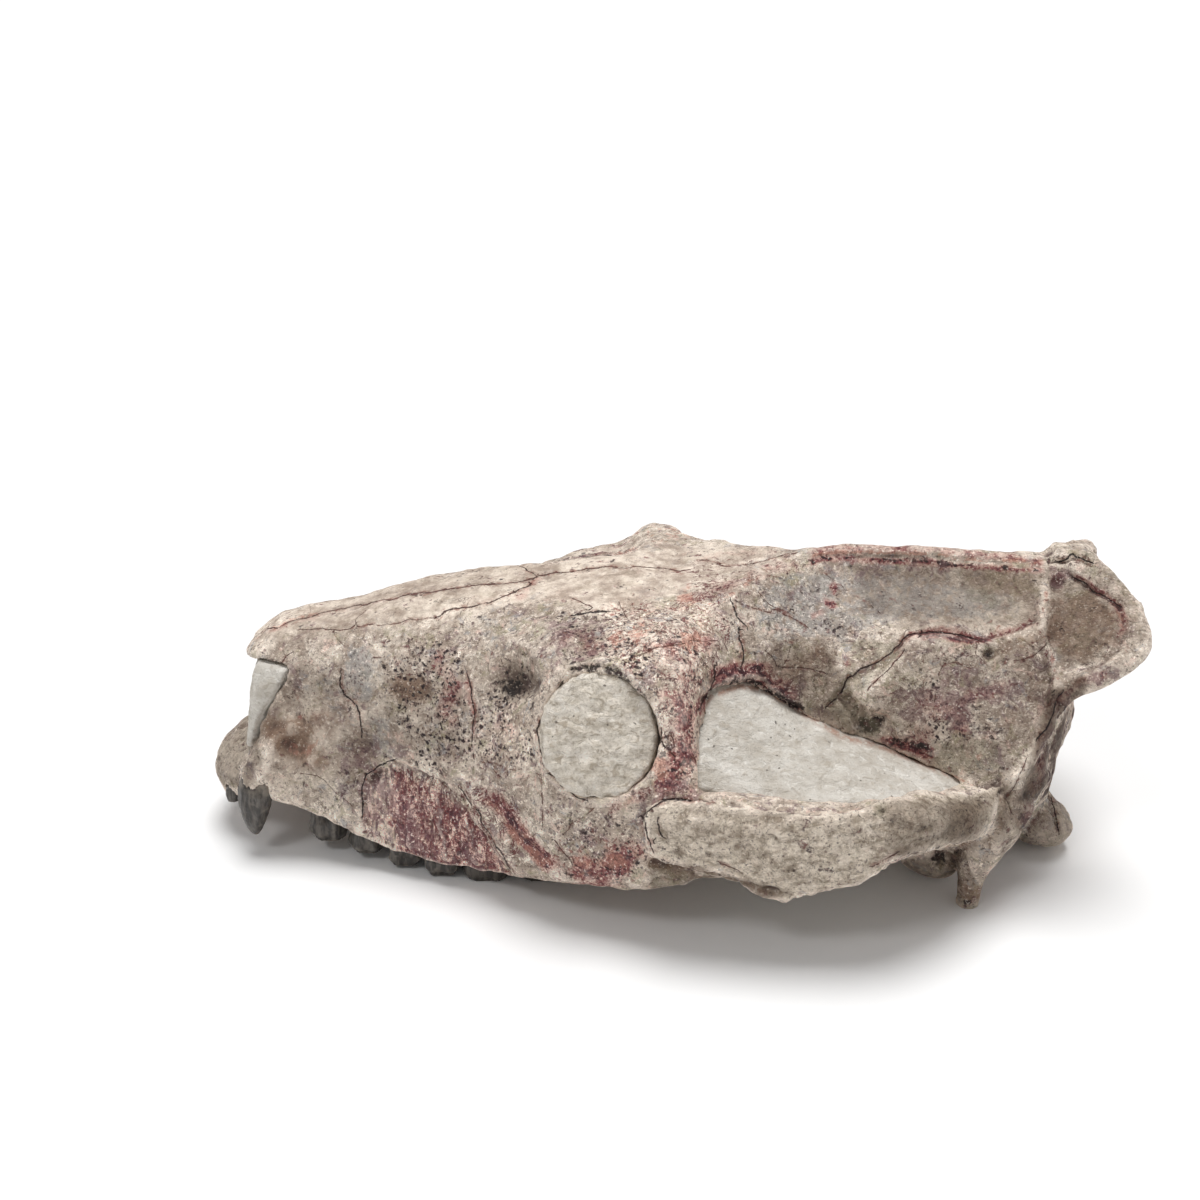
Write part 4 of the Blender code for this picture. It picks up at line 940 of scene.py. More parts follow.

# Stains and painted shade and highlight, from 0 to about 1: the dark marks are painted shade, some brown marks are
# painted shade, and some pale marks are painted highlights along ridges.
RED = [
    ("line", [(700, 712), (706, 698), (716, 687), (728, 682), (748, 677), (764, 683), (780, 697), (797, 707)], 4.5, 1.3),
    ("area", [(712, 668), (770, 664), (800, 690), (790, 704), (764, 684), (716, 690)], 6, 0.75),
    ("line", [(812, 561), (850, 559), (920, 562), (980, 567), (1042, 571)], 3.2, 1.1),
    ("line", [(884, 742), (905, 746), (930, 754)], 6, 1.3),
    ("line", [(910, 635), (940, 636), (985, 641)], 2.6, 1.2),
    ("line", [(797, 711), (845, 740), (885, 752), (930, 771)], 2.6, 1.1),
    ("line", [(1076, 576), (1098, 590), (1119, 608)], 3, 1.0),
    ("line", [(664, 692), (684, 710), (690, 735), (684, 760), (664, 785)], 8, 0.55),
    ("line", [(500, 800), (518, 830), (548, 866)], 6, 0.8), ("spot", (582, 868), 12, 0.8), ("spot", (618, 862), 16, 0.8),
    ("line", [(425, 860), (470, 876), (520, 884), (560, 886), (600, 884)], 4, 0.5),
    ("area", [(394, 772), (430, 785), (466, 806), (492, 842), (514, 878), (470, 878), (430, 870), (398, 856), (390, 820)], 16, 0.85),
    ("spot", (375, 815), 18, 0.5),
    ("line", [(436, 655), (440, 670), (455, 684), (446, 700), (440, 715), (452, 724)], 9, 0.55),
    ("spot", (456, 700), 16, 0.4),
    ("spot", (590, 646), 17, 0.55),
    ("spot", (640, 640), 22, 0.3),
    ("line", [(668, 650), (690, 636), (706, 640)], 13, 0.55),
    ("line", [(690, 668), (684, 700), (682, 735), (690, 765)], 13, 0.6),
    ("spot", (668, 762), 14, 0.6),
    ("line", [(612, 806), (636, 797), (660, 785), (690, 790)], 9, 0.55),
    ("line", [(487, 797), (503, 815), (520, 835), (538, 854), (552, 862)], 9, 0.75),
    ("spot", (586, 872), 13, 0.7),
    ("line", [(610, 876), (622, 862), (632, 850)], 14, 0.75),
    ("spot", (600, 833), 12, 0.35),
    ("line", [(690, 602), (716, 590), (742, 580), (768, 572), (792, 564)], 8, 0.45),
    ("line", [(812, 552), (850, 548), (900, 549), (960, 552), (1000, 556), (1040, 562)], 5, 0.85),
    ("spot", (833, 586), 4, 1.1), ("spot", (836, 592), 4, 1.1), ("spot", (828, 602), 4, 1.1), ("spot", (834, 605), 4, 1.1),
    ("spot", (815, 616), 3.5, 1.0), ("spot", (821, 612), 3.5, 1.0), ("spot", (769, 611), 3, 0.9), ("spot", (747, 621), 9, 0.4),
    ("line", [(716, 672), (735, 668), (750, 668), (768, 684), (790, 702)], 7, 0.9),
    ("line", [(920, 634), (940, 631), (962, 635), (982, 640), (1005, 632), (1030, 622)], 5, 0.8),
    ("line", [(845, 655), (850, 668)], 5, 0.7),
    ("spot", (870, 652), 8, 0.35),
    ("spot", (928, 706), 14, 0.55), ("spot", (952, 712), 15, 0.7), ("spot", (963, 728), 10, 0.7), ("line", [(968, 694), (1000, 690)], 9, 0.6),
    ("spot", (918, 740), 16, 0.75), ("spot", (880, 700), 10, 0.3),
    ("spot", (1056, 580), 9, 1.0),
    ("line", [(1122, 612), (1123, 628), (1116, 642)], 5, 0.6),
    ("line", [(1062, 698), (1080, 682), (1102, 676)], 6, 0.8),
    ("line", [(1044, 738), (1040, 760), (1040, 780), (1032, 792)], 8, 0.6),
    ("spot", (1038, 725), 10, 0.35),
    ("spot", (976, 828), 8, 0.55),
    ("spot", (1030, 812), 10, 0.6),
    ("line", [(905, 640), (898, 650)], 4, 0.4),
    ("line", [(700, 560), (740, 552), (790, 551)], 4, 0.35),
    ("line", [(300, 621), (330, 612), (353, 607)], 3, 0.45),
    ("line", [(264, 632), (285, 624)], 4, 0.5),
    ("line", [(520, 597), (536, 580)], 4, 0.6),
    ("spot", (685, 597), 8, 0.45),
    ("spot", (393, 662), 12, 0.3),
    ("line", [(467, 680), (473, 710), (473, 750)], 3.5, 0.5),
    ("spot", (345, 701), 7, 0.5),
    ("spot", (505, 745), 26, 0.28),
    ("line", [(905, 862), (925, 872)], 9, 0.35),
    ("spot", (555, 640), 10, 0.25),
    ("line", [(552, 690), (558, 660), (570, 635)], 6, 0.3),
]
BROWN = [
    ("spot", (292, 738), 22, 0.9),
    ("line", [(262, 712), (268, 730), (300, 748), (318, 762)], 12, 0.7),
    ("line", [(300, 726), (325, 716)], 9, 0.55),
    ("spot", (412, 690), 20, 0.9),
    ("line", [(384, 690), (430, 684)], 12, 0.4),
    ("spot", (362, 752), 20, 0.5),
    ("spot", (588, 640), 18, 0.75),
    ("spot", (505, 668), 22, 0.45),
    # Painted shade on the cheek bar's down-facing edge.
    ("line", [(655, 864), (690, 876), (740, 886), (775, 893)], 10, 0.8),
    ("line", [(560, 884), (600, 884), (650, 884)], 5, 0.4),
    ("spot", (822, 652), 18, 0.7), ("spot", (800, 672), 18, 0.7), ("spot", (840, 622), 14, 0.4),
    # Painted shade under the sagittal crest.
    ("area", [(960, 562), (1040, 566), (1045, 580), (1030, 600), (990, 596), (960, 580)], 14, 0.6),
    ("area", [(1048, 598), (1090, 592), (1116, 612), (1116, 640), (1086, 664), (1062, 655), (1048, 635)], 12, 0.8),
    ("line", [(1000, 650), (1030, 640), (1044, 634)], 12, 0.6),
    ("spot", (1036, 690), 20, 0.55), ("spot", (1010, 720), 20, 0.35),
    ("line", [(1068, 700), (1062, 730), (1056, 770)], 9, 0.7),
    ("line", [(958, 886), (970, 898), (982, 892)], 9, 1.0),
    ("spot", (1025, 820), 14, 0.7),
    ("line", [(1003, 800), (1000, 826), (988, 842)], 6, 0.6),
    ("line", [(1060, 548), (1090, 548), (1110, 572), (1130, 600), (1140, 630), (1126, 656)], 9, 0.4),
    ("spot", (525, 850), 14, 0.4),
    ("line", [(430, 628), (410, 640), (396, 652)], 14, 0.35),
    ("spot", (900, 825), 20, 0.25),
    ("spot", (540, 700), 10, 0.4),
]
# Painted shade in pits, grooves and holes, under the crest and along the orbit's rim.
DARK = [
    ("spot", (514, 686), 15, 1.0),
    ("spot", (505, 664), 16, 0.35),
    ("line", [(574, 668), (600, 667), (628, 679), (645, 700), (655, 722)], 3.4, 0.9),
    ("line", [(562, 684), (555, 697), (548, 711), (542, 726)], 3.2, 0.8),
    ("spot", (875, 722), 10, 1.2),
    ("area", [(846, 706), (854, 700), (866, 708), (872, 736), (860, 728)], 3, 0.4),
    ("line", [(850, 680), (880, 664), (902, 645)], 2.4, 0.5),
    ("line", [(812, 560), (850, 558), (920, 561), (980, 566), (1040, 570)], 1.9, 0.8),
    ("line", [(712, 690), (735, 681), (760, 684), (780, 699), (800, 707)], 3.4, 1.0),
    ("line", [(776, 690), (790, 700), (802, 706)], 6, 0.7),
    ("line", [(890, 740), (915, 742), (930, 748)], 6, 0.7),
    ("spot", (940, 857), 10, 1.3),
    ("line", [(1056, 690), (1066, 708), (1062, 722)], 5, 0.7),
    ("line", [(1048, 740), (1052, 760), (1050, 778)], 5, 0.5),
    ("line", [(958, 884), (966, 900)], 5, 0.7),
    ("spot", (878, 813), 7, 0.7),
    ("spot", (1062, 555), 5, 0.6), ("spot", (1086, 553), 6, 0.5),
    ("line", [(1018, 812), (1030, 826)], 7, 0.5),
    ("spot", (342, 692), 5, 0.6),
    ("line", [(640, 816), (650, 810)], 3, 0.8),
    ("line", [(656, 820), (660, 836)], 2.6, 0.7),
    ("spot", (988, 655), 4, 0.9),
    ("spot", (350, 788), 10, 0.35), ("spot", (372, 788), 7, 0.5),
    ("line", [(440, 862), (455, 850), (450, 835)], 6, 0.3),
    ("spot", (594, 664), 8, 0.5),
    ("line", [(930, 848), (960, 850)], 3, 0.4),
]
GREY = [
    ("spot", (358, 660), 18, 0.8), ("spot", (366, 692), 12, 0.6), ("spot", (388, 738), 20, 0.7), ("spot", (322, 690), 20, 0.5),
    ("spot", (492, 630), 16, 0.6), ("spot", (418, 655), 10, 0.5), ("spot", (440, 735), 20, 0.5),
    ("area", [(752, 585), (800, 570), (900, 570), (1000, 590), (1020, 610), (960, 625), (900, 620), (840, 640), (780, 640), (756, 615)], 24, 0.75),
    ("area", [(918, 806), (965, 800), (972, 830), (945, 845), (918, 842)], 12, 0.8),
    ("spot", (1055, 660), 12, 0.6), ("spot", (868, 680), 10, 0.6), ("spot", (960, 665), 14, 0.5),
    ("spot", (1000, 670), 14, 0.4), ("spot", (345, 785), 14, 0.5), ("spot", (480, 730), 12, 0.3), ("spot", (690, 700), 8, 0.3),
    ("spot", (610, 830), 16, 0.25),
]
# Pale patches, and painted highlights along the ridges and raised edges.
PALE = [
    ("line", [(712, 870), (745, 880), (775, 889), (797, 897)], 2.6, 1.1),
    ("line", [(905, 640), (882, 660), (865, 688)], 3.2, 1.0),
    ("line", [(432, 792), (440, 812), (436, 834)], 3.2, 1.0), ("line", [(448, 802), (458, 816), (464, 830)], 3.2, 1.0),
    ("spot", (862, 702), 6, 1.0), ("line", [(1082, 600), (1090, 625), (1086, 648)], 2.4, 0.9),
    ("area", [(980, 785), (1004, 785), (1000, 820), (982, 818)], 6, 0.8), ("spot", (1070, 720), 5, 1.0),
    ("line", [(1054, 694), (1034, 742), (1004, 800)], 3, 0.8), ("line", [(720, 803), (760, 811), (810, 818), (858, 817)], 3, 0.9),
    ("line", [(315, 752), (335, 735), (358, 722), (384, 704)], 9, 0.6),
    ("area", [(216, 745), (236, 728), (256, 722), (248, 772), (222, 782)], 10, 0.7),
    ("line", [(538, 831), (556, 834)], 1.6, 1.2),
    ("spot", (500, 790), 16, 0.45),
    ("line", [(905, 652), (890, 670), (870, 690)], 6, 0.8),
    ("spot", (925, 660), 14, 0.4),
    ("spot", (988, 806), 13, 0.9), ("spot", (1030, 755), 12, 0.6), ("spot", (1000, 772), 12, 0.4), ("line", [(940, 745), (990, 748)], 10, 0.3),
    ("line", [(648, 812), (650, 832), (660, 854), (700, 862)], 7, 0.8),
    ("line", [(740, 872), (770, 886), (796, 890)], 6, 0.8),
    ("line", [(1046, 590), (1041, 612), (1046, 638), (1052, 655)], 4, 0.7),
    ("line", [(1060, 668), (1090, 664), (1112, 650)], 5, 0.5),
    ("line", [(1058, 690), (1054, 712), (1040, 738)], 4, 0.6),
    ("area", SLAB_AREA, 6, 0.55),
    ("line", [(474, 656), (488, 645), (503, 641), (522, 644)], 5, 0.5),
    ("line", [(660, 664), (648, 650), (622, 655)], 12, 0.35),
    ("area", [(270, 640), (300, 625), (400, 602), (520, 585), (530, 596), (440, 612), (340, 628), (290, 645)], 10, 0.35),
    ("spot", (470, 765), 10, 0.5), ("spot", (425, 780), 14, 0.45),
    ("line", [(428, 800), (440, 815), (446, 840)], 8, 0.5),
    ("line", [(345, 826), (385, 846), (430, 866), (475, 878)], 3.5, 0.6),
    ("line", [(350, 700), (356, 712)], 4, 0.5),
    ("spot", (868, 652), 6, 0.6),
    ("spot", (1058, 840), 16, 0.4),
]
SPECKS = [
    ("area", [(380, 660), (440, 640), (470, 660), (468, 760), (420, 740), (390, 720)], 24, 0.8),
    ("area", [(474, 690), (540, 690), (540, 770), (478, 762)], 16, 0.6),
    ("area", [(545, 615), (620, 605), (700, 620), (710, 690), (650, 700), (600, 664), (560, 668)], 18, 0.6),
    ("area", [(656, 700), (698, 690), (694, 800), (650, 790)], 10, 0.6),
    ("spot", (350, 680), 22, 0.4), ("spot", (355, 775), 26, 0.6), ("spot", (440, 760), 22, 0.7),
    ("area", [(550, 815), (640, 815), (650, 880), (560, 880)], 20, 0.4),
    ("area", [(750, 590), (850, 580), (850, 640), (780, 650)], 20, 0.35),
    ("area", [(900, 680), (1000, 680), (1000, 760), (910, 740)], 20, 0.4),
    ("spot", (415, 690), 22, 0.5),
]
# Regions painted darker (above 0) or lighter (below 0) than the bone at large: partly the bone's own tone, partly
# painted shade and painted light matched to how each region is lit, such as painted shade under the crest, in the
# lacrimal hollow and on the cheek bar's down-facing edge.
TONE_AND_PAINTED_SHADING = [
    ("area", SLAB_AREA, 6, 0.33),
    ("area", [(262, 632), (340, 596), (440, 566), (560, 552), (560, 580), (436, 612), (340, 636), (270, 650)], 10, 0.26),
    ("area", [(560, 552), (660, 534), (760, 552), (700, 590), (606, 606), (560, 590)], 12, 0.14),
    ("spot", (514, 684), 24, 0.55),
    ("area", ROOT_AREA, 8, -0.5),
    ("area", [(650, 690), (700, 690), (700, 800), (655, 800)], 8, -0.35),
    ("area", [(222, 722), (255, 716), (262, 760), (250, 790), (218, 786), (210, 757)], 8, 0.55),
    ("area", [(474, 640), (540, 640), (538, 715), (476, 712)], 12, 0.15),
    ("area", [(262, 640), (440, 610), (470, 680), (420, 740), (300, 760), (262, 720)], 24, 0.10),
    ("area", [(262, 690), (300, 660), (380, 690), (440, 670), (470, 690), (474, 760), (430, 760), (392, 764), (360, 815), (300, 800), (262, 770)], 30, 0.30),
    ("area", [(905, 642), (985, 640), (1046, 640), (1058, 690), (1040, 740), (1000, 800), (950, 770), (900, 745), (870, 706)], 22, 0.38),
    ("area", [(1050, 585), (1080, 575), (1118, 608), (1122, 640), (1100, 662), (1060, 668), (1044, 640)], 10, 0.5),
    ("area", [(1085, 545), (1130, 585), (1150, 630), (1130, 670), (1086, 690), (1070, 680), (1108, 660), (1122, 636), (1112, 596), (1078, 570)], 10, 0.28),
    ("area", [(850, 566), (960, 562), (1045, 570), (1040, 625), (960, 632), (905, 630), (860, 610)], 24, 0.50),
    ("area", [(770, 640), (830, 640), (850, 690), (880, 740), (850, 738), (790, 704), (752, 676)], 18, 0.55),
    ("area", [(1000, 785), (1080, 785), (1085, 860), (1000, 860)], 14, 0.5),
    ("area", [(950, 805), (1012, 800), (1000, 850), (986, 912), (950, 912)], 12, 0.28),
    ("area", [(1050, 690), (1085, 675), (1084, 790), (1020, 800)], 10, 0.7),
    ("area", [(896, 850), (962, 846), (960, 884), (900, 886)], 10, 0.5),
    ("area", [(880, 806), (930, 800), (985, 795), (975, 845), (925, 848), (890, 858)], 14, 0.28),
    ("spot", (588, 642), 22, 0.15),
    ("area", [(372, 800), (420, 780), (490, 850), (514, 880), (440, 872), (372, 836)], 20, 0.10),
    ("area", [(650, 862), (700, 866), (790, 892), (770, 900), (700, 892), (650, 890)], 6, 0.55),
        ("spot", (470, 800), 18, -0.2),
    ("area", [(474, 700), (540, 700), (538, 765), (476, 760)], 14, -0.30),
    ("area", [(600, 600), (720, 600), (700, 690), (640, 690), (600, 660)], 20, -0.45),
    ("area", [(690, 570), (800, 555), (800, 570), (730, 600), (720, 680), (700, 690)], 14, -0.15),
]
# Olive-green tint, with painted shade under the crest and on the cheek bar's down-facing edge.
OLIVE = [
    ("area", [(850, 640), (900, 640), (895, 660), (860, 690), (830, 715), (826, 700), (845, 680)], 7, 0.8),
    ("area", [(820, 705), (860, 700), (884, 730), (880, 742), (850, 738)], 6, 0.8),
    ("area", [(935, 738), (1000, 738), (1000, 770), (960, 776), (930, 764)], 10, 0.9),
    ("area", [(960, 566), (1045, 570), (1040, 600), (1000, 612), (965, 600)], 12, 0.6),
    ("area", [(650, 866), (700, 872), (760, 886), (740, 893), (690, 890), (650, 888)], 5, 0.7),
    ("area", [(1090, 546), (1130, 585), (1150, 630), (1140, 650), (1120, 600), (1085, 566)], 8, 0.6),
    ("area", [(380, 676), (440, 672), (440, 716), (400, 724), (378, 706)], 14, 0.35),
    ("area", [(880, 650), (930, 650), (925, 735), (895, 735)], 12, 0.5),
    ("area", [(780, 640), (830, 650), (850, 700), (800, 690)], 14, 0.4),
    ("spot", (1086, 554), 8, 0.7), ("spot", (878, 812), 11, 0.9), ("spot", (1000, 650), 26, 0.4),
    ("area", [(1050, 600), (1085, 590), (1110, 620), (1090, 655), (1060, 650)], 12, 0.5),
]
PURPLE = [
    ("area", [(360, 790), (400, 780), (420, 850), (380, 840)], 10, 0.7),
    ("area", [(325, 745), (380, 735), (385, 790), (340, 800)], 14, 0.6),
    ("area", [(405, 800), (430, 795), (440, 868), (410, 862)], 7, 0.7),
    ("area", [(455, 840), (480, 830), (505, 880), (470, 880)], 8, 0.7),
    ("spot", (588, 644), 22, 0.8), ("spot", (600, 625), 14, 0.5),
    ("area", [(540, 620), (572, 620), (566, 670), (545, 676)], 10, 0.5),
    ("area", [(650, 778), (702, 780), (704, 800), (650, 806)], 7, 0.8),
    ("area", [(895, 690), (925, 690), (925, 722), (898, 720)], 7, 0.8),
    ("area", [(940, 665), (975, 665), (972, 735), (940, 730)], 9, 0.8),
    ("area", [(975, 682), (1012, 684), (1008, 706), (978, 704)], 8, 0.7),
    ("area", [(1048, 565), (1070, 568), (1066, 590), (1048, 588)], 5, 0.9),
    ("area", [(1046, 690), (1080, 690), (1078, 790), (1040, 790)], 8, 0.7),
    ("area", [(1086, 670), (1122, 662), (1120, 684), (1086, 690)], 6, 0.6),
    ("area", [(1020, 806), (1046, 806), (1046, 832), (1022, 832)], 7, 0.7),
    ("area", [(850, 566), (960, 562), (955, 574), (850, 580)], 6, 0.6),
    ("spot", (790, 690), 14, 0.6), ("spot", (820, 664), 12, 0.4), ("spot", (800, 650), 12, 0.35),
    ("area", [(300, 620), (420, 590), (430, 600), (310, 640)], 10, 0.18),
    ("spot", (232, 738), 9, 0.5), ("spot", (936, 700), 12, 0.6),
]
OCHRE = [
    ("line", [(812, 555), (860, 552), (920, 554), (985, 560), (1040, 562)], 2.2, 0.9),
    ("line", [(797, 709), (845, 737), (885, 749), (930, 768), (975, 786)], 2.0, 0.8),
    ("spot", (686, 595), 9, 0.8), ("spot", (664, 770), 9, 0.9), ("line", [(655, 756), (662, 778), (670, 792)], 4, 0.7),
    ("spot", (690, 640), 11, 0.8), ("spot", (640, 634), 14, 0.5), ("spot", (615, 640), 10, 0.5),
    ("line", [(300, 752), (325, 738), (345, 724), (360, 715)], 7, 0.5),
    ("spot", (290, 738), 18, 0.4), ("spot", (300, 700), 16, 0.3), ("spot", (978, 756), 6, 0.8),
    ("line", [(492, 802), (506, 822), (526, 846), (546, 862)], 4, 0.9), ("spot", (582, 866), 9, 0.7), ("spot", (618, 860), 12, 0.7),
    ("line", [(262, 632), (287, 621), (320, 612)], 2, 0.7), ("spot", (440, 815), 8, 0.3),
    ("area", [(640, 524), (690, 524), (700, 540), (650, 545)], 8, 0.4),
    ("line", [(725, 600), (745, 584), (775, 568)], 3, 0.6), ("spot", (1000, 620), 14, 0.3),
    ("line", [(1047, 590), (1042, 615), (1050, 655), (1060, 690)], 3, 0.5), ("line", [(1118, 612), (1124, 635), (1116, 652)], 3, 0.6),
    ("area", [(600, 590), (720, 590), (700, 680), (650, 690), (604, 650)], 14, 0.25),
    ("area", [(500, 790), (600, 830), (640, 880), (540, 884)], 14, 0.25),
    ("line", [(1055, 690), (1036, 740), (1000, 800)], 3, 0.4), ("line", [(1000, 850), (990, 880)], 5, 0.4),
]
# Where the surface is fine and even.
SMOOTH = [
    ("area", [(262, 625), (340, 590), (440, 560), (600, 545), (760, 545), (780, 556), (700, 590), (600, 612), (530, 600), (436, 620), (340, 632), (262, 640)], 24, 1.0),
    ("area", [(830, 565), (1040, 568), (1040, 625), (900, 628), (840, 600)], 24, 0.7),
    ("area", [(262, 700), (340, 700), (340, 780), (280, 790)], 24, 0.5),
    ("area", [(1050, 590), (1116, 600), (1116, 650), (1056, 660)], 14, 0.4),
]
# Fine red branching veins.
VEINS = [
    ("area", [(600, 610), (720, 590), (740, 640), (690, 700), (640, 690), (600, 660)], 18, 0.8),
    ("area", [(656, 700), (698, 690), (694, 800), (640, 800)], 10, 0.7),
    ("area", [(690, 560), (800, 545), (800, 570), (740, 600), (690, 610)], 10, 0.6),
    ("area", [(380, 640), (470, 640), (470, 720), (400, 700)], 16, 0.5),
    ("area", [(395, 765), (520, 800), (520, 880), (400, 856)], 10, 0.9),
    ("area", [(540, 800), (640, 800), (640, 886), (520, 886)], 16, 0.5),
    ("area", [(860, 640), (1050, 640), (1040, 770), (900, 745)], 20, 0.45),
    ("line", [(1040, 600), (1046, 640), (1056, 680)], 10, 0.5),
    ("area", [(440, 730), (540, 740), (540, 800), (470, 800)], 14, 0.4),
]


# ---------------------------------------------------------------- meshes as arrays


def points_of(obj):
    a = np.empty(len(obj.data.vertices) * 3, np.float32)
    obj.data.vertices.foreach_get("co", a)
    return a.reshape(-1, 3).astype(np.float64) / MM


def normals_of(obj):
    a = np.empty(len(obj.data.vertices) * 3, np.float32)
    obj.data.vertices.foreach_get("normal", a)
    return a.reshape(-1, 3).astype(np.float64)


def put_points(obj, p):
    obj.data.vertices.foreach_set("co", (p * MM).astype(np.float32).ravel())
    obj.data.update()


def layer(obj, name, values):
    at = obj.data.attributes.new(name, "FLOAT", "POINT")
    at.data.foreach_set("value", np.asarray(values, np.float32))


def lit_by_projector(p, normals):
    """How well the projector sees each point, from 0 to 1, with its pixel."""
    x, y, depth = projected(p)
    ix, iy = np.clip(x.astype(int), 3, 1196), np.clip(y.astype(int), 3, 1196)
    front = np.full((1200, 1200), 1e9)
    for dx in range(-2, 3):
        for dy in range(-2, 3):
            np.minimum.at(front, (iy + dy, ix + dx), depth)
    clear = depth < front[iy, ix] + 3.5
    toward = CAMERA - p
    toward /= np.linalg.norm(toward, axis=1)[:, None]
    return clear * step((normals * toward).sum(1), 0.0, 0.22), x, y


class Marks:
    """Where the near side's marks and the far side's mirrored ones fall on a mesh."""

    def __init__(self, p, normals, wobble=1.0):
        flip = np.array([1.0, -1.0, 1.0])
        fine = [noise(p, 3.2, 71 + n, 2) * 2.0 * wobble for n in (0, 1)]
        self.near, x, y = lit_by_projector(p, normals)
        self.near_x, self.near_y = x + fine[0], y + fine[1]
        self.far, x, y = lit_by_projector(p * flip, normals * flip)
        self.far = self.far * (1 - self.near)
        self.far_x = x + fine[1] + 9 * noise(p, 22, 81)
        self.far_y = y + fine[0] + 9 * noise(p, 22, 83)

    def __call__(self, marks, far=1.0):
        return self.near * stamped(self.near_x, self.near_y, marks) + far * self.far * stamped(self.far_x, self.far_y, marks)

    def cracks(self, lines):
        """Signed and plain distance to the nearest crack, in its own half widths, and the depth that it gives."""
        n = len(self.near)
        best, signed, depth, strong = np.full(n, 60.0), np.full(n, 60.0), np.zeros(n), np.zeros(n)
        for seen, x, y in ((self.near, self.near_x, self.near_y), (self.far, self.far_x, self.far_y)):
            for pts, width, deep in lines:
                xs, ys = [q[0] for q in pts], [q[1] for q in pts]
                near = (seen > 0.25) & (x > min(xs) - 14) & (x < max(xs) + 14) & (y > min(ys) - 14) & (y < max(ys) + 14)
                if not near.any():
                    continue
                d, s = to_line(x[near], y[near], pts)
                idx = np.flatnonzero(near)
                better = d / width < best[idx]
                best[idx[better]] = (d / width)[better]
                signed[idx[better]] = np.clip(np.sign(s) * d / width, -60, 60)[better]
                depth[idx] = np.maximum(depth[idx], deep * seen[idx] * np.exp(-((d / max(2.0, width * 1.8)) ** 2)))
                strong[idx[better]] = deep
        return signed, best, depth, strong


# ---------------------------------------------------------------- the pieces


def rest_in_box(obj):
    """Keeps a piece inside the frame's box."""
    p = points_of(obj)
    low, high = np.array(cad_low) / MM, np.array(cad_high) / MM
    put_points(obj, np.clip(p, low + 0.02, high - 0.02))


def moved(obj):
    obj.data.transform(Matrix.Translation((-X_MIDDLE * MM, 0, 0)))


def fine_cranium(collection, teeth, fills, plug):
    skull = bones(collection, 1.0, 2)
    tools = []
    for side in (-1, 1):
        for k, (middle, radii, turn) in enumerate(HOLLOWS):
            tools.append(ball(f"hollow_{side}_{k}", middle, radii, collection, side, turn))
    sockets = joined("sockets", [inflated(tooth, 0.22, collection) for tooth in teeth], collection)
    tools += [sockets, back_hole(collection)]
    tools += [loft("orbit_mouth", orbit_rings(side, 9, -10, grow=0.1), collection) for side in (-1, 1)]
    tools += [inflated(rock, 0.2, collection) for rock in fills] + [inflated(plug, 0.2, collection)]
    skull = cut(skull, tools, collection)
    for tool in tools:
        drop(tool)
    skull = welded(skull, 0.62, 2, collection)
    skull.name = "cranium_bone"
    moved(skull)
    return skull


def far_brow(p):
    """Where the right brow and its rock lie lower than the left's."""
    X = p[:, 0] + X_MIDDLE
    return step(p[:, 1], 6, 22) * step(p[:, 2], 38, 54) * step(X, -38, -14) * (1 - step(X, 3, 12))


def carve(skull):
    """The bone's relief: marks, roots, cracks and weathered roughness."""
    p, n = points_of(skull), normals_of(skull)
    marks = Marks(p, n)
    up = marks(RELIEF)
    _, _, depth, _ = marks.cracks(CRACKS)
    slab = np.clip(marks([("area", SLAB_AREA, 6, 1.0)]), 0, 1)
    root = np.clip(marks([("area", ROOT_AREA, 6, 1.0)]), 0, 1)
    # Weathering: broad waves, lumps and grain.
    up += 0.45 * noise(p, 16, 1, 2) + 0.30 * noise(p, 5.5, 5, 2) + 0.17 * noise(p, 2.4, 9, 2)
    # Root striations run down the jaw.
    up += root * 0.30 * noise(np.stack([marks.near_x * 0.5 - marks.near_y * 0.1, marks.near_y * 0.06, p[:, 1] * 0.1], 1), 2.2, 21, 2)
    # Fibres along the slab.
    up += slab * (0.26 * noise(p * (0.22, 1, 1), 1.6, 25, 2) + 0.2 * noise(p, 3.0, 27, 2))
    # Small pits, denser where the bone is porous.
    porous = np.clip(0.25 + marks(SPECKS), 0, 1.2)
    pit = cells(p, 2.6, 31)
    up -= 0.42 * porous * np.exp(-((pit / 0.55) ** 2))
    up -= depth * 0.75 * step(noise(p, 5, 61), -0.5, 0.3)
    # The skull base and the occiput: rough, with broken grains of rock on them.
    hidden = 1 - np.clip(marks.near + marks.far, 0, 1)
    up += hidden * (0.35 * noise(p, 7, 41, 3) + 0.2 * noise(p, 2.4, 43, 2))
    # The far brow lies lower in front of its highest point.
    brow = far_brow(p)
    occiput = step(p[:, 0] + X_MIDDLE, 98, 103) * step(p[:, 2], 18, 30)
    up += occiput * 0.9 * np.exp(-((p[:, 1] / 2.2) ** 2))
    up -= occiput * 1.4 * np.exp(-(((np.abs(p[:, 1]) - 8) / 4.5) ** 2)) * step(p[:, 2], 30, 42) * (1 - step(p[:, 2], 50, 58))
    # The palate: a raised seam in the middle and the openings behind the front teeth.
    X = p[:, 0] + X_MIDDLE
    roof = (n[:, 2] < -0.5) * step(X, -84, -76) * (1 - step(X, 6, 14)) * (np.abs(p[:, 1]) < 22)
    up += roof * 0.5 * np.exp(-((p[:, 1] / 1.1) ** 2))
    up -= roof * 1.6 * np.exp(-(((np.abs(p[:, 1]) - 5) / 2.2) ** 2)) * np.exp(-(((X + 74) / 5) ** 2))
    up -= roof * 0.5 * np.exp(-(((np.abs(p[:, 1]) - 13) / 1.5) ** 2)) * step(X, -60, -50) * (1 - step(X, -16, -6))
    # Flat ends on the table keep their height.
    up *= step(p[:, 2], 0.2, 3.0)
    p = p + n * up[:, None]
    p[:, 2] -= 3.6 * brow
    put_points(skull, p)


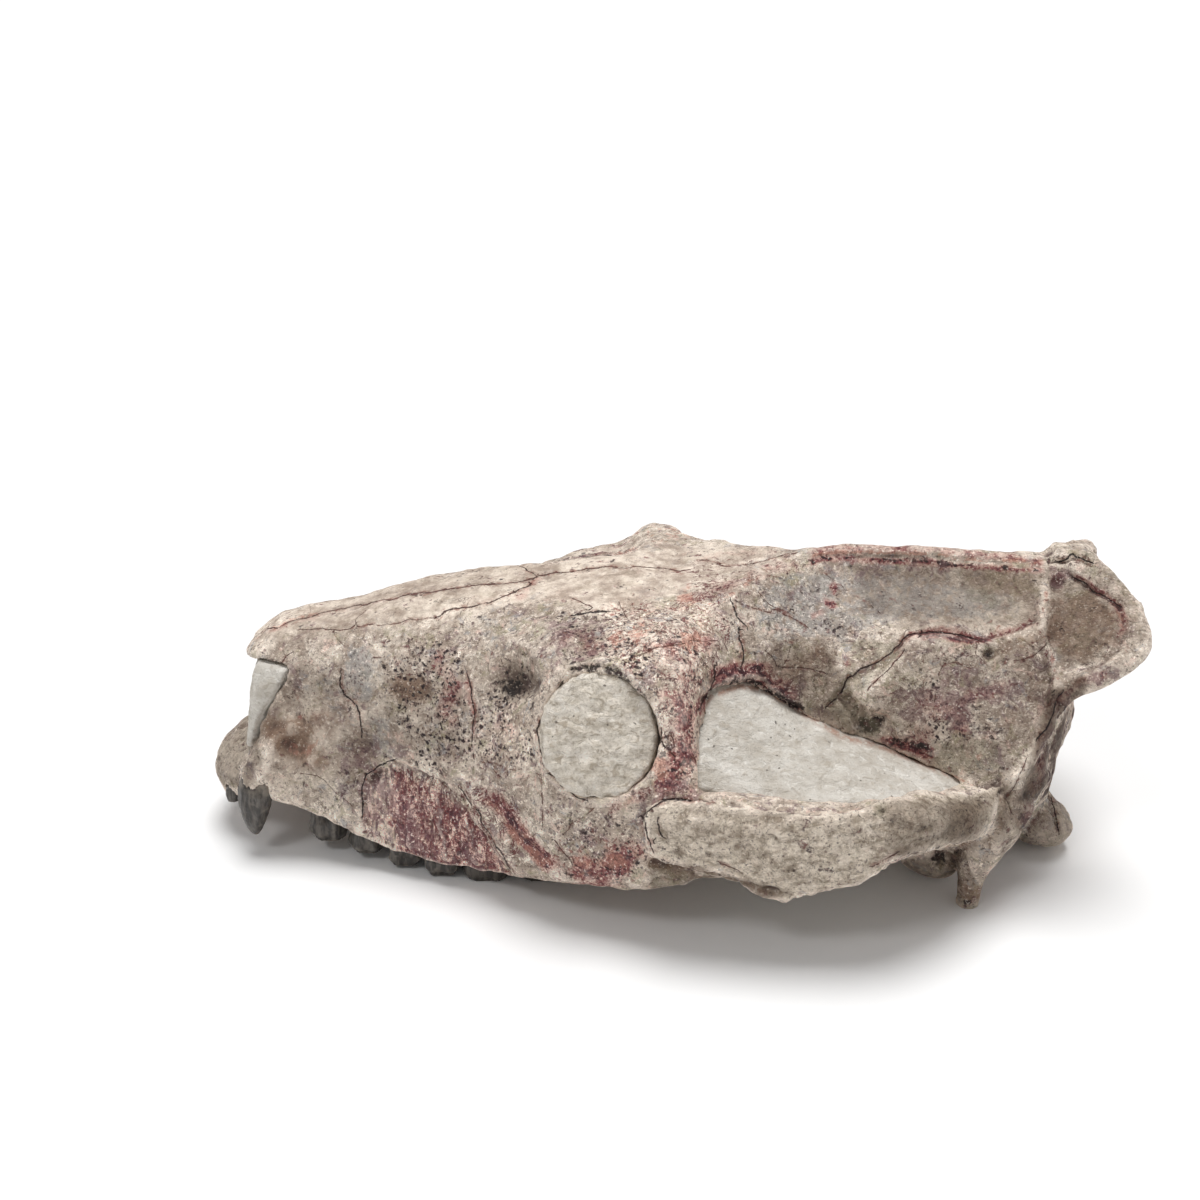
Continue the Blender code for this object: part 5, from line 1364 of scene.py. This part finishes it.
def painted(skull):
    """Stains, specks, cracks, dirt, painted shade and painted highlight as layers on the bone's points."""
    p, n = points_of(skull), normals_of(skull)
    marks = Marks(p, n)
    hidden = 1 - np.clip(marks.near + marks.far, 0, 1)
    patches = lambda size, seed, lo, hi: step(noise(p, size, seed, 2), lo, hi)
    layer(skull, "red", np.clip(marks(RED) + 0.16 * patches(9, 101, 0.1, 0.9) + hidden * 0.5 * patches(13, 103, 0.0, 0.9), 0, 1.3))
    layer(skull, "brown", np.clip(marks(BROWN) + 0.12 * patches(14, 107, 0, 0.9) + hidden * 0.6 * patches(17, 109, -0.1, 0.8), 0, 1.3))
    # Painted shade in crevices and holes, with random dark patches on the hidden side.
    layer(skull, "crevice_shade_and_grime", np.clip(0.8 * marks(DARK) + hidden * 0.3 * patches(6, 113, 0.3, 1.0), 0, 1.4))
    layer(skull, "grey", np.clip(marks(GREY) + 0.25 * patches(15, 127, 0.1, 0.9) + hidden * 0.4 * patches(15, 129, 0, 0.9), 0, 1.0))
    # Pale patches, with painted highlights along ridges.
    layer(skull, "pale", np.clip(marks(PALE) + 0.2 * patches(11, 131, 0.2, 0.9) + hidden * 0.3 * patches(9, 133, 0.2, 0.9), 0, 1.2))
    layer(skull, "specks", np.clip(0.22 + marks(SPECKS) + hidden * 0.25, 0, 1.1))
    layer(skull, "veins", np.clip(0.03 + 0.9 * marks(VEINS) + hidden * 0.2 * patches(12, 137, 0.1, 0.8), 0, 1.0))
    signed, plain, _, strong = marks.cracks(CRACKS)
    layer(skull, "crack_deep", np.clip(strong * 2, 0, 1))
    layer(skull, "olive", np.clip(marks(OLIVE), 0, 1.2))
    layer(skull, "purple", np.clip(marks(PURPLE), 0, 1.2))
    layer(skull, "ochre", np.clip(marks(OCHRE), 0, 1.2))
    # Region tone, with painted shade and painted light.
    layer(skull, "tone_and_painted_shading", np.clip(marks(TONE_AND_PAINTED_SHADING), -1, 1))
    layer(skull, "smooth", np.clip(marks(SMOOTH), 0, 1))
    layer(skull, "crack_side", signed)
    layer(skull, "crack_far", plain)
    slab = np.clip(marks([("area", SLAB_AREA, 5, 1.0)]), 0, 1)
    layer(skull, "slab", slab)
    roots = np.clip(marks([("area", ROOT_AREA, 8, 1.0)]), 0, 1)
    layer(skull, "roots", roots)
    layer(skull, "hollow", hollowness(skull, p, n))


def hollowness(obj, p, n, rounds=10):
    """Above 0 in hollows and below 0 on edges: how far each point lies under its smoothed surroundings, in mm."""
    edges = np.empty(len(obj.data.edges) * 2, np.int32)
    obj.data.edges.foreach_get("vertices", edges)
    a, b = edges[0::2], edges[1::2]
    count = np.bincount(a, minlength=len(p)) + np.bincount(b, minlength=len(p))
    q = p.copy()
    for _ in range(rounds):
        total = np.stack([np.bincount(a, q[b, k], len(p)) + np.bincount(b, q[a, k], len(p)) for k in range(3)], 1)
        q = 0.5 * q + 0.5 * total / np.maximum(count, 1)[:, None]
    return ((q - p) * n).sum(1)


def fine_rock(name, coarse, collection):
    """A rough, picked surface on one filling."""
    rock = bpy_object(name, coarse.data.copy(), collection)
    rock = welded(rock, 0.55, 1, collection)
    rock.name = name
    moved(rock)
    p, n = points_of(rock), normals_of(rock)
    X = p[:, 0] + X_MIDDLE
    orbit = 1 - step(X, 12, 16) if "fill" in name else np.zeros(len(p))
    up = 0.18 + 0.20 * noise(p, 6, 201, 2) + 0.10 * noise(p, 2.0, 205, 2)
    up += orbit * (0.38 * noise(p, 2.3, 207, 2) - 0.35 * np.exp(-((cells(p, 3.0, 211) / 0.8) ** 2)))
    up += (1 - orbit) * (0.16 * noise(p * (0.3, 1, 1), 1.8, 215, 2) + 0.12 * noise(p, 3.0, 217, 2))
    up -= (1 - orbit) * 0.5 * np.exp(-((cells(p, 7.5, 219) / 0.55) ** 2))
    brow = far_brow(p)
    p = p + n * (up - 0.12)[:, None]
    p[:, 2] -= 3.6 * brow
    put_points(rock, p)
    p, n = points_of(rock), normals_of(rock)
    layer(rock, "hollow", hollowness(rock, p, n, 8))
    layer(rock, "orbit", orbit)
    layer(rock, "rim", Marks(p, n, 0.4)([("line", [(700, 712), (712, 696), (740, 686), (765, 690), (797, 709), (845, 738), (885, 748), (930, 767), (975, 785)], 3, 0.9)]))
    return rock


def fine_tooth(name, coarse, collection):
    """Ribbed, chipped enamel over a stump of dentine."""
    tooth = bpy_object(name, coarse.data.copy(), collection)
    tooth = welded(tooth, 0.34, 2, collection)
    tooth.name = name
    moved(tooth)
    p, n = points_of(tooth), normals_of(tooth)
    low = p[:, 2].min()
    middle = p.mean(0)
    angle = np.arctan2(p[:, 1] - middle[1], p[:, 0] - middle[0])
    worn = (n[:, 2] < -0.6) & (p[:, 2] < low + 1.2)
    up = 0.16 * noise(p, 2.2, 301, 2) + 0.06 * noise(p * (1, 1, 0.25), 0.8, 305, 2)
    if "molar" in name:
        up = up + (0.45 + 0.55 * noise(p, 3.6, 303, 2)) * step(p[:, 2], low + 0.6, low + 2.2)
    if "molar" in name:
        up = up + 0.22 * np.cos(angle * 6) * (np.abs(n[:, 2]) < 0.5)
        # Crescent-shaped hollows in the worn end.
        q = p - middle
        half = (p.max(0) - p.min(0)) / 2
        for cx in (-0.45, 0.45):
            for cy in (-0.4, 0.4):
                r = np.hypot(q[:, 0] / half[0] - cx, q[:, 1] / half[1] - cy)
                up = up - worn * 0.7 * np.exp(-(((r - 0.26) / 0.09) ** 2))
    up = up * np.where(worn, (up < 0), 1.0) - 0.05
    put_points(tooth, p + n * up[:, None])
    p, n = points_of(tooth), normals_of(tooth)
    layer(tooth, "hollow", hollowness(tooth, p, n, 6))
    layer(tooth, "height", (p[:, 2] - low) / (p[:, 2].max() - low))
    layer(tooth, "worn", worn.astype(float))
    return tooth


# ---------------------------------------------------------------- materials


class Graph:
    """A small helper to write a node material as sums."""

    def __init__(self, name):
        self.material = bpy.data.materials.new(name)
        self.material.use_nodes = True
        self.tree = self.material.node_tree
        self.shader = self.tree.nodes["Principled BSDF"]
        self.shader.inputs["Metallic"].default_value = 0.0
        self.place = self.node("ShaderNodeTexCoord").outputs["Object"]

    def node(self, kind, **settings):
        made = self.tree.nodes.new(kind)
        for key, value in settings.items():
            setattr(made, key, value)
        return made

    def put(self, socket, value):
        if isinstance(value, bpy.types.NodeSocket):
            self.tree.links.new(value, socket)
        elif isinstance(value, (tuple, list)):
            socket.default_value = (*value, 1)[: len(socket.default_value)] if len(value) == 3 and len(socket.default_value) == 4 else value
        else:
            socket.default_value = value

    def attr(self, name):
        return self.node("ShaderNodeAttribute", attribute_name=name).outputs["Fac"]

    def math(self, op, a, b=0.0, c=0.0, clamp=False):
        made = self.node("ShaderNodeMath", operation=op, use_clamp=clamp)
        for socket, value in zip(made.inputs, (a, b, c)):
            self.put(socket, value)
        return made.outputs[0]

    def add(self, a, b):
        return self.math("ADD", a, b)

    def mul(self, a, b):
        return self.math("MULTIPLY", a, b)

    def ramp(self, value, low, high, out_low=0.0, out_high=1.0):
        made = self.node("ShaderNodeMapRange", interpolation_type="SMOOTHSTEP", clamp=True)
        for key, v in (("Value", value), ("From Min", low), ("From Max", high), ("To Min", out_low), ("To Max", out_high)):
            self.put(made.inputs[key], v)
        return made.outputs[0]

    def stretched(self, scale):
        made = self.node("ShaderNodeMapping")
        self.put(made.inputs["Vector"], self.place)
        self.put(made.inputs["Scale"], scale)
        return made.outputs[0]

    def noise(self, size_mm, detail=3.0, rough=0.55, distort=0.0, stretch=None):
        made = self.node("ShaderNodeTexNoise")
        self.put(made.inputs["Vector"], self.stretched(stretch) if stretch else self.place)
        self.put(made.inputs["Scale"], 1000.0 / size_mm)
        self.put(made.inputs["Detail"], detail)
        self.put(made.inputs["Roughness"], rough)
        self.put(made.inputs["Distortion"], distort)
        return made.outputs["Fac"]

    def cells(self, size_mm, feature="F1", random=1.0, distort=None):
        made = self.node("ShaderNodeTexVoronoi", feature=feature)
        self.put(made.inputs["Vector"], distort if distort is not None else self.place)
        self.put(made.inputs["Scale"], 1000.0 / size_mm)
        self.put(made.inputs["Randomness"], random)
        return made.outputs["Distance"]

    def warped(self, size_mm, amount_mm):
        """The place, shifted by noise."""
        made = self.node("ShaderNodeTexNoise")
        self.put(made.inputs["Vector"], self.place)
        self.put(made.inputs["Scale"], 1000.0 / size_mm)
        self.put(made.inputs["Detail"], 2.0)
        less = self.node("ShaderNodeVectorMath", operation="SUBTRACT")
        self.put(less.inputs[0], made.outputs["Color"])
        self.put(less.inputs[1], (0.5, 0.5, 0.5))
        more = self.node("ShaderNodeVectorMath", operation="MULTIPLY_ADD")
        self.put(more.inputs[0], less.outputs[0])
        self.put(more.inputs[1], (amount_mm * 0.002,) * 3)
        self.put(more.inputs[2], self.place)
        return more.outputs[0]

    def mix(self, a, b, factor, blend="MIX"):
        made = self.node("ShaderNodeMix", data_type="RGBA", blend_type=blend, clamp_factor=True)
        self.put(made.inputs[0], factor)
        self.put(made.inputs[6], a)
        self.put(made.inputs[7], b)
        return made.outputs[2]

    def bump(self, height, depth_mm, after=None):
        made = self.node("ShaderNodeBump")
        self.put(made.inputs["Strength"], 1.0)
        self.put(made.inputs["Distance"], depth_mm * MM)
        self.put(made.inputs["Height"], height)
        if after is not None:
            self.put(made.inputs["Normal"], after)
        return made.outputs[0]


def bone_material():
    g = Graph("fossil_bone")
    red, brown, crevice_shade_and_grime, grey, pale = (g.attr(k) for k in ("red", "brown", "crevice_shade_and_grime", "grey", "pale"))
    specks, veins, slab, roots, hollow = (g.attr(k) for k in ("specks", "veins", "slab", "roots", "hollow"))
    tone_and_painted_shading, smooth = g.attr("tone_and_painted_shading"), g.attr("smooth")
    rough_zone = g.math("SUBTRACT", 1.0, g.mul(smooth, 0.8))
    broad, mid, fine = g.noise(9, 4, 0.6), g.noise(3.4, 4, 0.62), g.noise(1.25, 3, 0.6)
    crumb, grit = g.noise(1.9, 5, 0.7, 0.6), g.noise(0.62, 2, 0.6)
    # Beige bone with a crumbly grain of pale and dark.
    colour = g.mix((0.42, 0.35, 0.295), (0.66, 0.59, 0.515), g.ramp(g.add(g.mul(broad, 0.5), g.mul(mid, 0.5)), 0.40, 0.60))
    colour = g.mix(colour, (0.29, 0.225, 0.18), g.mul(g.ramp(crumb, 0.55, 0.64), g.mul(rough_zone, 0.75)))
    colour = g.mix(colour, (0.84, 0.765, 0.675), g.mul(g.ramp(crumb, 0.45, 0.36), g.add(0.15, g.mul(rough_zone, 0.65))))
    # Mottling of olive, purple, pink and slate.
    hue = g.noise(4.6, 5, 0.68, 0.8)
    tint = g.noise(3.9, 5, 0.68, 0.6)
    colour = g.mix(colour, (0.36, 0.325, 0.225), g.mul(g.ramp(hue, 0.55, 0.63), g.mul(rough_zone, 0.6)))
    colour = g.mix(colour, (0.245, 0.17, 0.18), g.mul(g.ramp(hue, 0.43, 0.37), g.mul(rough_zone, 0.55)))
    colour = g.mix(colour, (0.70, 0.545, 0.475), g.mul(g.ramp(tint, 0.57, 0.65), g.mul(rough_zone, 0.6)))
    colour = g.mix(colour, (0.36, 0.355, 0.36), g.mul(g.ramp(tint, 0.42, 0.35), g.mul(rough_zone, 0.6)))
    # Grey-blue, pale and brown patches with torn edges.
    torn = g.add(g.mul(g.add(mid, -0.5), 2.2), g.mul(g.add(fine, -0.5), 1.6))
    colour = g.mix(colour, (0.37, 0.36, 0.35), g.mul(g.ramp(g.add(grey, torn), 0.3, 0.9), 0.60))
    # The pale marks include painted highlights along ridges.
    colour = g.mix(colour, (0.80, 0.73, 0.64), g.mul(g.ramp(g.add(pale, torn), 0.35, 0.95), 0.75))
    # The brown marks include painted shade under the crest and on the cheek bar.
    colour = g.mix(colour, (0.27, 0.18, 0.125), g.mul(g.ramp(g.add(brown, g.mul(torn, 0.6)), 0.2, 1.0), 0.75))
    # Slab: warm grey-beige with short fibres and specks.
    fibre = g.noise(1.7, 5, 0.68, 0.5, (0.4, 1, 0.8))
    slab_tone = g.mix((0.35, 0.29, 0.225), (0.84, 0.765, 0.665), g.ramp(g.add(g.mul(fibre, 0.5), g.mul(crumb, 0.5)), 0.39, 0.59))
    colour = g.mix(colour, slab_tone, g.mul(slab, 0.8))
    # Red-purple iron stain: a wash, then blotches, then dark cores.
    stain = g.add(red, g.add(g.mul(g.add(crumb, -0.5), 3.2), g.mul(g.add(grit, -0.5), 1.2)))
    colour = g.mix(colour, (0.47, 0.285, 0.245), g.mul(g.ramp(g.add(red, g.mul(g.add(mid, -0.5), 1.4)), 0.15, 0.85), 0.6))
    colour = g.mix(colour, (0.26, 0.10, 0.10), g.mul(g.ramp(stain, 0.72, 0.98), 0.8))
    colour = g.mix(colour, (0.085, 0.032, 0.045), g.mul(g.ramp(stain, 1.10, 1.40), 0.9))
    # Striped roots.
    stripe = g.noise(1.7, 5, 0.68, 0.9, (1, 1, 0.22))
    colour = g.mix(colour, (0.15, 0.085, 0.095), g.mul(g.mul(g.ramp(stripe, 0.50, 0.57), roots), 0.75))
    colour = g.mix(colour, (0.74, 0.60, 0.53), g.mul(g.mul(g.ramp(stripe, 0.46, 0.40), roots), 0.7))
    # Fine branching threads where two noises cross their middle values.
    patchy = g.add(veins, g.add(g.mul(g.add(mid, -0.5), 1.8), g.mul(g.add(fine, -0.5), 1.8)))
    thread = g.ramp(g.math("ABSOLUTE", g.add(g.noise(5.2, 4, 0.6, 1.3), -0.5)), 0.006, 0.018, 1.0, 0.0)
    other = g.ramp(g.math("ABSOLUTE", g.add(g.noise(3.4, 4, 0.6, 1.0), -0.5)), 0.007, 0.022, 1.0, 0.0)
    thread = g.mul(g.math("MAXIMUM", thread, other), g.ramp(patchy, 0.45, 0.85))
    colour = g.mix(colour, (0.20, 0.065, 0.065), g.mul(thread, 0.85))
    # Black pores, in torn clusters of several sizes.
    cluster = g.add(specks, g.mul(g.add(g.noise(6, 4, 0.6), -0.5), 2.6))
    pores = g.ramp(g.cells(1.5, "F1", 1.0, g.warped(1.2, 1.0)), 0.20, 0.34, 1.0, 0.0)
    pores = g.mul(pores, g.ramp(cluster, 0.45, 0.9))
    small = g.ramp(g.cells(0.8, "F1", 1.0, g.warped(0.9, 0.5)), 0.22, 0.36, 1.0, 0.0)
    small = g.mul(small, g.ramp(cluster, 0.25, 0.9))
    colour = g.mix(colour, (0.045, 0.028, 0.032), g.mul(pores, 0.92))
    colour = g.mix(colour, (0.08, 0.045, 0.05), g.mul(small, 0.8))
    # Painted shade in hollows; painted highlight on edges.
    colour = g.mix(colour, (0.12, 0.075, 0.065), g.ramp(hollow, 0.08, 0.50, 0.0, 0.75))
    colour = g.mix(colour, (0.78, 0.70, 0.62), g.ramp(hollow, -0.08, -0.40, 0.0, 0.5))
    # Painted shade in crevices, holes and under the crest, torn by grain.
    colour = g.mix(colour, (0.055, 0.043, 0.040), g.mul(g.ramp(g.add(crevice_shade_and_grime, g.add(torn, g.mul(g.add(crumb, -0.5), 3.0))), 0.42, 0.92), 0.9))
    olive, purple, ochre = g.attr("olive"), g.attr("purple"), g.attr("ochre")
    # Olive tint, partly painted shade under the crest and on the cheek bar.
    colour = g.mix(colour, (0.35, 0.32, 0.235), g.mul(g.ramp(g.add(olive, torn), 0.35, 0.95), 0.45))
    colour = g.mix(colour, (0.26, 0.165, 0.17), g.mul(g.ramp(g.add(purple, g.mul(torn, 1.5)), 0.40, 1.0), 0.55))
    colour = g.mix(colour, (0.55, 0.32, 0.25), g.mul(g.ramp(g.add(ochre, torn), 0.42, 0.90), 0.52))
    # Hairlines, then the drawn cracks, which fade in and out along their way.
    hair = g.ramp(g.math("ABSOLUTE", g.add(g.noise(13, 3, 0.55, 0.8), -0.5)), 0.0008, 0.0030, 1.0, 0.0)
    hair = g.mul(hair, g.ramp(g.noise(8, 3), 0.52, 0.60))
    colour = g.mix(colour, (0.20, 0.13, 0.11), g.mul(hair, 0.6))
    deep = g.attr("crack_deep")
    side = g.add(g.attr("crack_side"), g.mul(g.add(fine, -0.5), 3.4))
    line = g.mul(g.ramp(g.math("ABSOLUTE", side), 0.25, 0.95, 1.0, 0.0), g.ramp(g.attr("crack_far"), 3.2, 4.2, 1.0, 0.0))
    line = g.mul(line, g.ramp(g.add(g.noise(2.6, 3, 0.6), g.mul(deep, 0.22)), 0.46, 0.60))
    halo = g.mul(g.ramp(g.attr("crack_far"), 1.0, 4.5, 1.0, 0.0), g.ramp(crumb, 0.48, 0.58))
    colour = g.mix(colour, (0.30, 0.15, 0.12), g.mul(halo, 0.6))
    colour = g.mix(colour, g.mix((0.20, 0.10, 0.08), (0.035, 0.022, 0.022), g.ramp(deep, 0.5, 0.9)), g.mul(line, 0.92))
    # Salt-and-pepper grain.
    colour = g.mix(colour, (0.12, 0.08, 0.07), g.mul(g.ramp(grit, 0.60, 0.67), g.add(0.12, g.mul(rough_zone, 0.38))))
    colour = g.mix(colour, (0.92, 0.85, 0.77), g.mul(g.ramp(grit, 0.40, 0.33), g.add(0.12, g.mul(rough_zone, 0.38))))
    # Whole regions painted darker or lighter than the rest: partly their own tone, partly painted shade and painted
    # light.
    colour = g.mix(colour, (0.33, 0.29, 0.255), g.ramp(tone_and_painted_shading, 0.0, 1.0), "MULTIPLY")
    colour = g.mix(colour, (1.5, 1.5, 1.5), g.ramp(tone_and_painted_shading, 0.0, -1.0), "MULTIPLY")
    # Deepen the tones, then lift them, so that pale and dark stand further apart.
    deeper = g.node("ShaderNodeGamma")
    g.put(deeper.inputs["Color"], colour)
    g.put(deeper.inputs["Gamma"], 1.38)
    colour = g.mix(deeper.outputs["Color"], (1.72, 1.74, 1.77), 1.0, "MULTIPLY")
    g.put(g.shader.inputs["Base Color"], colour)
    g.put(g.shader.inputs["Roughness"], g.ramp(mid, 0.3, 0.7, 0.58, 0.82))
    g.shader.inputs["Specular IOR Level"].default_value = 0.4
    height = g.add(g.mul(crumb, 1.0), g.mul(grit, 0.25))
    height = g.mul(height, g.add(0.25, g.mul(rough_zone, 0.75)))
    height = g.add(height, g.add(g.mul(pores, -0.35), g.add(g.mul(line, -0.5), g.mul(g.add(hair, thread), -0.12))))
    height = g.add(height, g.add(g.mul(g.mul(fibre, slab), 0.6), g.mul(g.mul(stripe, roots), 0.7)))
    g.put(g.shader.inputs["Normal"], g.bump(height, 1.7))
    return g.material


def rock_material():
    g = Graph("rock_matrix")
    hollow, orbit = g.attr("hollow"), g.attr("orbit")
    broad, mid, fine, grain = g.noise(7, 5, 0.6), g.noise(2.4, 7, 0.7), g.noise(0.9, 6, 0.7), g.noise(0.4, 4, 0.7)
    plain = g.mix((0.60, 0.55, 0.48), (0.78, 0.74, 0.675), g.ramp(g.add(g.mul(broad, 0.6), g.mul(mid, 0.4)), 0.38, 0.60))
    picked = g.mix((0.60, 0.545, 0.46), (0.86, 0.81, 0.73), g.ramp(g.add(g.mul(mid, 0.5), g.mul(fine, 0.5)), 0.38, 0.58))
    colour = g.mix(plain, picked, orbit)
    chips = g.noise(1.9, 4, 0.66, 0.9, (0.75, 1, 1.3))
    colour = g.mix(colour, (0.40, 0.335, 0.255), g.mul(g.ramp(chips, 0.56, 0.63), g.add(0.40, g.mul(orbit, 0.25))))
    colour = g.mix(colour, (0.95, 0.915, 0.85), g.mul(g.ramp(chips, 0.44, 0.36), 0.6))
    # Painted shade in hollows and painted highlight on edges.
    colour = g.mix(colour, (0.33, 0.28, 0.22), g.ramp(hollow, 0.05, 0.42, 0.0, 0.65))
    colour = g.mix(colour, (0.86, 0.82, 0.76), g.ramp(hollow, -0.05, -0.3, 0.0, 0.45))
    spots = g.ramp(g.cells(3.2, "F1", 1.0, g.warped(1.5, 0.8)), 0.03, 0.09, 1.0, 0.0)
    colour = g.mix(colour, (0.17, 0.135, 0.11), g.mul(spots, 0.7))
    specks = g.ramp(g.cells(0.9, "F1", 1.0, g.warped(0.8, 0.3)), 0.10, 0.26, 1.0, 0.0)
    colour = g.mix(colour, (0.38, 0.33, 0.27), g.mul(g.mul(specks, g.ramp(mid, 0.45, 0.6)), 0.6))
    colour = g.mix(colour, (0.34, 0.29, 0.235), g.mul(g.ramp(grain, 0.60, 0.70), 0.4))
    # A rusty line where the rock meets the bone.
    colour = g.mix(colour, (0.45, 0.27, 0.20), g.mul(g.attr("rim"), g.ramp(mid, 0.40, 0.55)))
    # Painted light: the rock in the orbit is made brighter.
    colour = g.mix(colour, (1.16, 1.13, 1.10), orbit, "MULTIPLY")
    g.put(g.shader.inputs["Base Color"], colour)
    g.shader.inputs["Roughness"].default_value = 0.92
    g.shader.inputs["Specular IOR Level"].default_value = 0.2
    height = g.add(g.mul(mid, 0.5), g.add(g.mul(chips, g.add(0.7, g.mul(orbit, 0.8))), g.mul(grain, 0.25)))
    height = g.add(height, g.mul(spots, -0.4))
    g.put(g.shader.inputs["Normal"], g.bump(height, 1.2))
    return g.material


def enamel_material():
    g = Graph("fossil_enamel")
    hollow, height, worn = g.attr("hollow"), g.attr("height"), g.attr("worn")
    mid, fine = g.noise(1.8, 4), g.noise(0.7, 4)
    streak = g.noise(0.9, 4, 0.6, 0.2, (1, 1, 0.18))
    colour = g.mix((0.032, 0.027, 0.023), (0.110, 0.095, 0.080), g.ramp(streak, 0.40, 0.62))
    colour = g.mix(colour, (0.21, 0.185, 0.155), g.mul(g.ramp(mid, 0.56, 0.72), 0.55))
    colour = g.mix(colour, (0.30, 0.25, 0.20), g.mul(g.ramp(height, 0.55, 0.85), g.ramp(mid, 0.4, 0.6)))
    colour = g.mix(colour, (0.17, 0.13, 0.10), g.mul(worn, 0.6))
    # Painted shade in hollows and painted highlight on edges.
    colour = g.mix(colour, (0.02, 0.018, 0.016), g.ramp(hollow, 0.04, 0.3, 0.0, 0.8))
    colour = g.mix(colour, (0.26, 0.235, 0.20), g.ramp(hollow, -0.05, -0.22, 0.0, 0.5))
    g.put(g.shader.inputs["Base Color"], colour)
    g.put(g.shader.inputs["Roughness"], g.ramp(mid, 0.3, 0.7, 0.30, 0.55))
    g.shader.inputs["Specular IOR Level"].default_value = 0.5
    g.put(g.shader.inputs["Normal"], g.bump(g.add(g.mul(fine, 0.6), g.mul(streak, 0.5)), 0.18))
    return g.material


def finished(obj, look, node):
    obj.data.materials.clear()
    obj.data.materials.append(look)
    obj.data.shade_smooth()
    rest_in_box(obj)
    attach(obj, "root")
    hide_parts(node)


def main():
    work = bpy.data.collections.new("skull_looks")
    bpy.context.scene.collection.children.link(work)
    fills, teeth, nodes = [], [], []
    for side, word in ((-1, "left"), (1, "right")):
        fills.append(filling(f"coarse_fill_{word}", side, work))
        teeth.append(canine(f"coarse_canine_{word}", side, work))
        teeth.append(incisor(f"coarse_incisor_{word}", side, work))
        nodes += [f"canine_{word}", f"incisor_{word}"]
        for (tooth, x, outer, length, width, end), (_, neck) in zip(CHEEK, NECK_Z):
            teeth.append(cheek_tooth(f"coarse_{tooth}_{word}", x, outer, length, width, end, neck, side, work))
            nodes.append(f"{tooth}_{word}")
    plug = nose_plug(work)
    skull = fine_cranium(work, teeth, fills, plug)
    carve(skull)
    skull = thinned(skull, 194000, work)
    skull.name = "cranium_bone"
    largest_body(skull)
    painted(skull)
    bone, rock, enamel = bone_material(), rock_material(), enamel_material()
    finished(skull, bone, "cranium")
    for coarse, node in zip(fills + [plug], ("matrix_fill_left", "matrix_fill_right", "matrix_nasal")):
        finished(fine_rock(node + "_rock", coarse, work), rock, node)
    for coarse, node in zip(teeth, nodes):
        finished(fine_tooth(node + "_enamel", coarse, work), enamel, node)
    for coarse in fills + teeth + [plug]:
        drop(coarse)


def studio():
    scene = bpy.context.scene
    bpy.ops.mesh.primitive_plane_add(size=60, location=(0, 0, 0))
    floor = bpy.context.object
    floor.name = "floor"
    g = Graph("floor_white")
    g.put(g.shader.inputs["Base Color"], (0.93, 0.93, 0.93))
    g.shader.inputs["Roughness"].default_value = 0.9
    g.shader.inputs["Specular IOR Level"].default_value = 0.0
    floor.data.materials.append(g.material)

    camera = bpy.data.cameras.new("camera")
    camera.sensor_width, camera.lens, camera.clip_start = 36.0, 45.0, 0.02
    holder = bpy.data.objects.new("camera", camera)
    scene.collection.objects.link(holder)
    r, u, f, c = RIGHT, ABOVE, AHEAD, CAMERA * MM
    holder.matrix_world = Matrix(((r[0], u[0], -f[0], c[0]), (r[1], u[1], -f[1], c[1]), (r[2], u[2], -f[2], c[2]), (0, 0, 0, 1)))
    scene.camera = holder

    world = bpy.data.worlds.new("studio")
    scene.world = world
    world.use_nodes = True
    world.node_tree.nodes["Background"].inputs["Color"].default_value = (1, 1, 1, 1)
    world.node_tree.nodes["Background"].inputs["Strength"].default_value = 0.32
    # A wide soft light, overhead and a little behind.
    light = bpy.data.lights.new("overhead", "SUN")
    light.energy, light.angle = 2.42, math.radians(32)
    lamp = bpy.data.objects.new("overhead", light)
    scene.collection.objects.link(lamp)
    lamp.location = (0, 0.3, 1)
    lamp.rotation_mode = "QUATERNION"
    lamp.rotation_quaternion = Vector((-0.05, -0.13, -1)).to_track_quat("-Z", "Y")
    # A weaker one from the front, which draws the relief of the sides.
    light = bpy.data.lights.new("side", "SUN")
    light.energy, light.angle = 0.40, math.radians(12)
    lamp = bpy.data.objects.new("side", light)
    scene.collection.objects.link(lamp)
    lamp.location = (-0.3, -0.5, 0.7)
    lamp.rotation_mode = "QUATERNION"
    lamp.rotation_quaternion = Vector((0.40, 0.50, -0.80)).to_track_quat("-Z", "Y")
    scene.view_settings.view_transform = "Standard"


main()
studio()
bpy.context.view_layer.update()
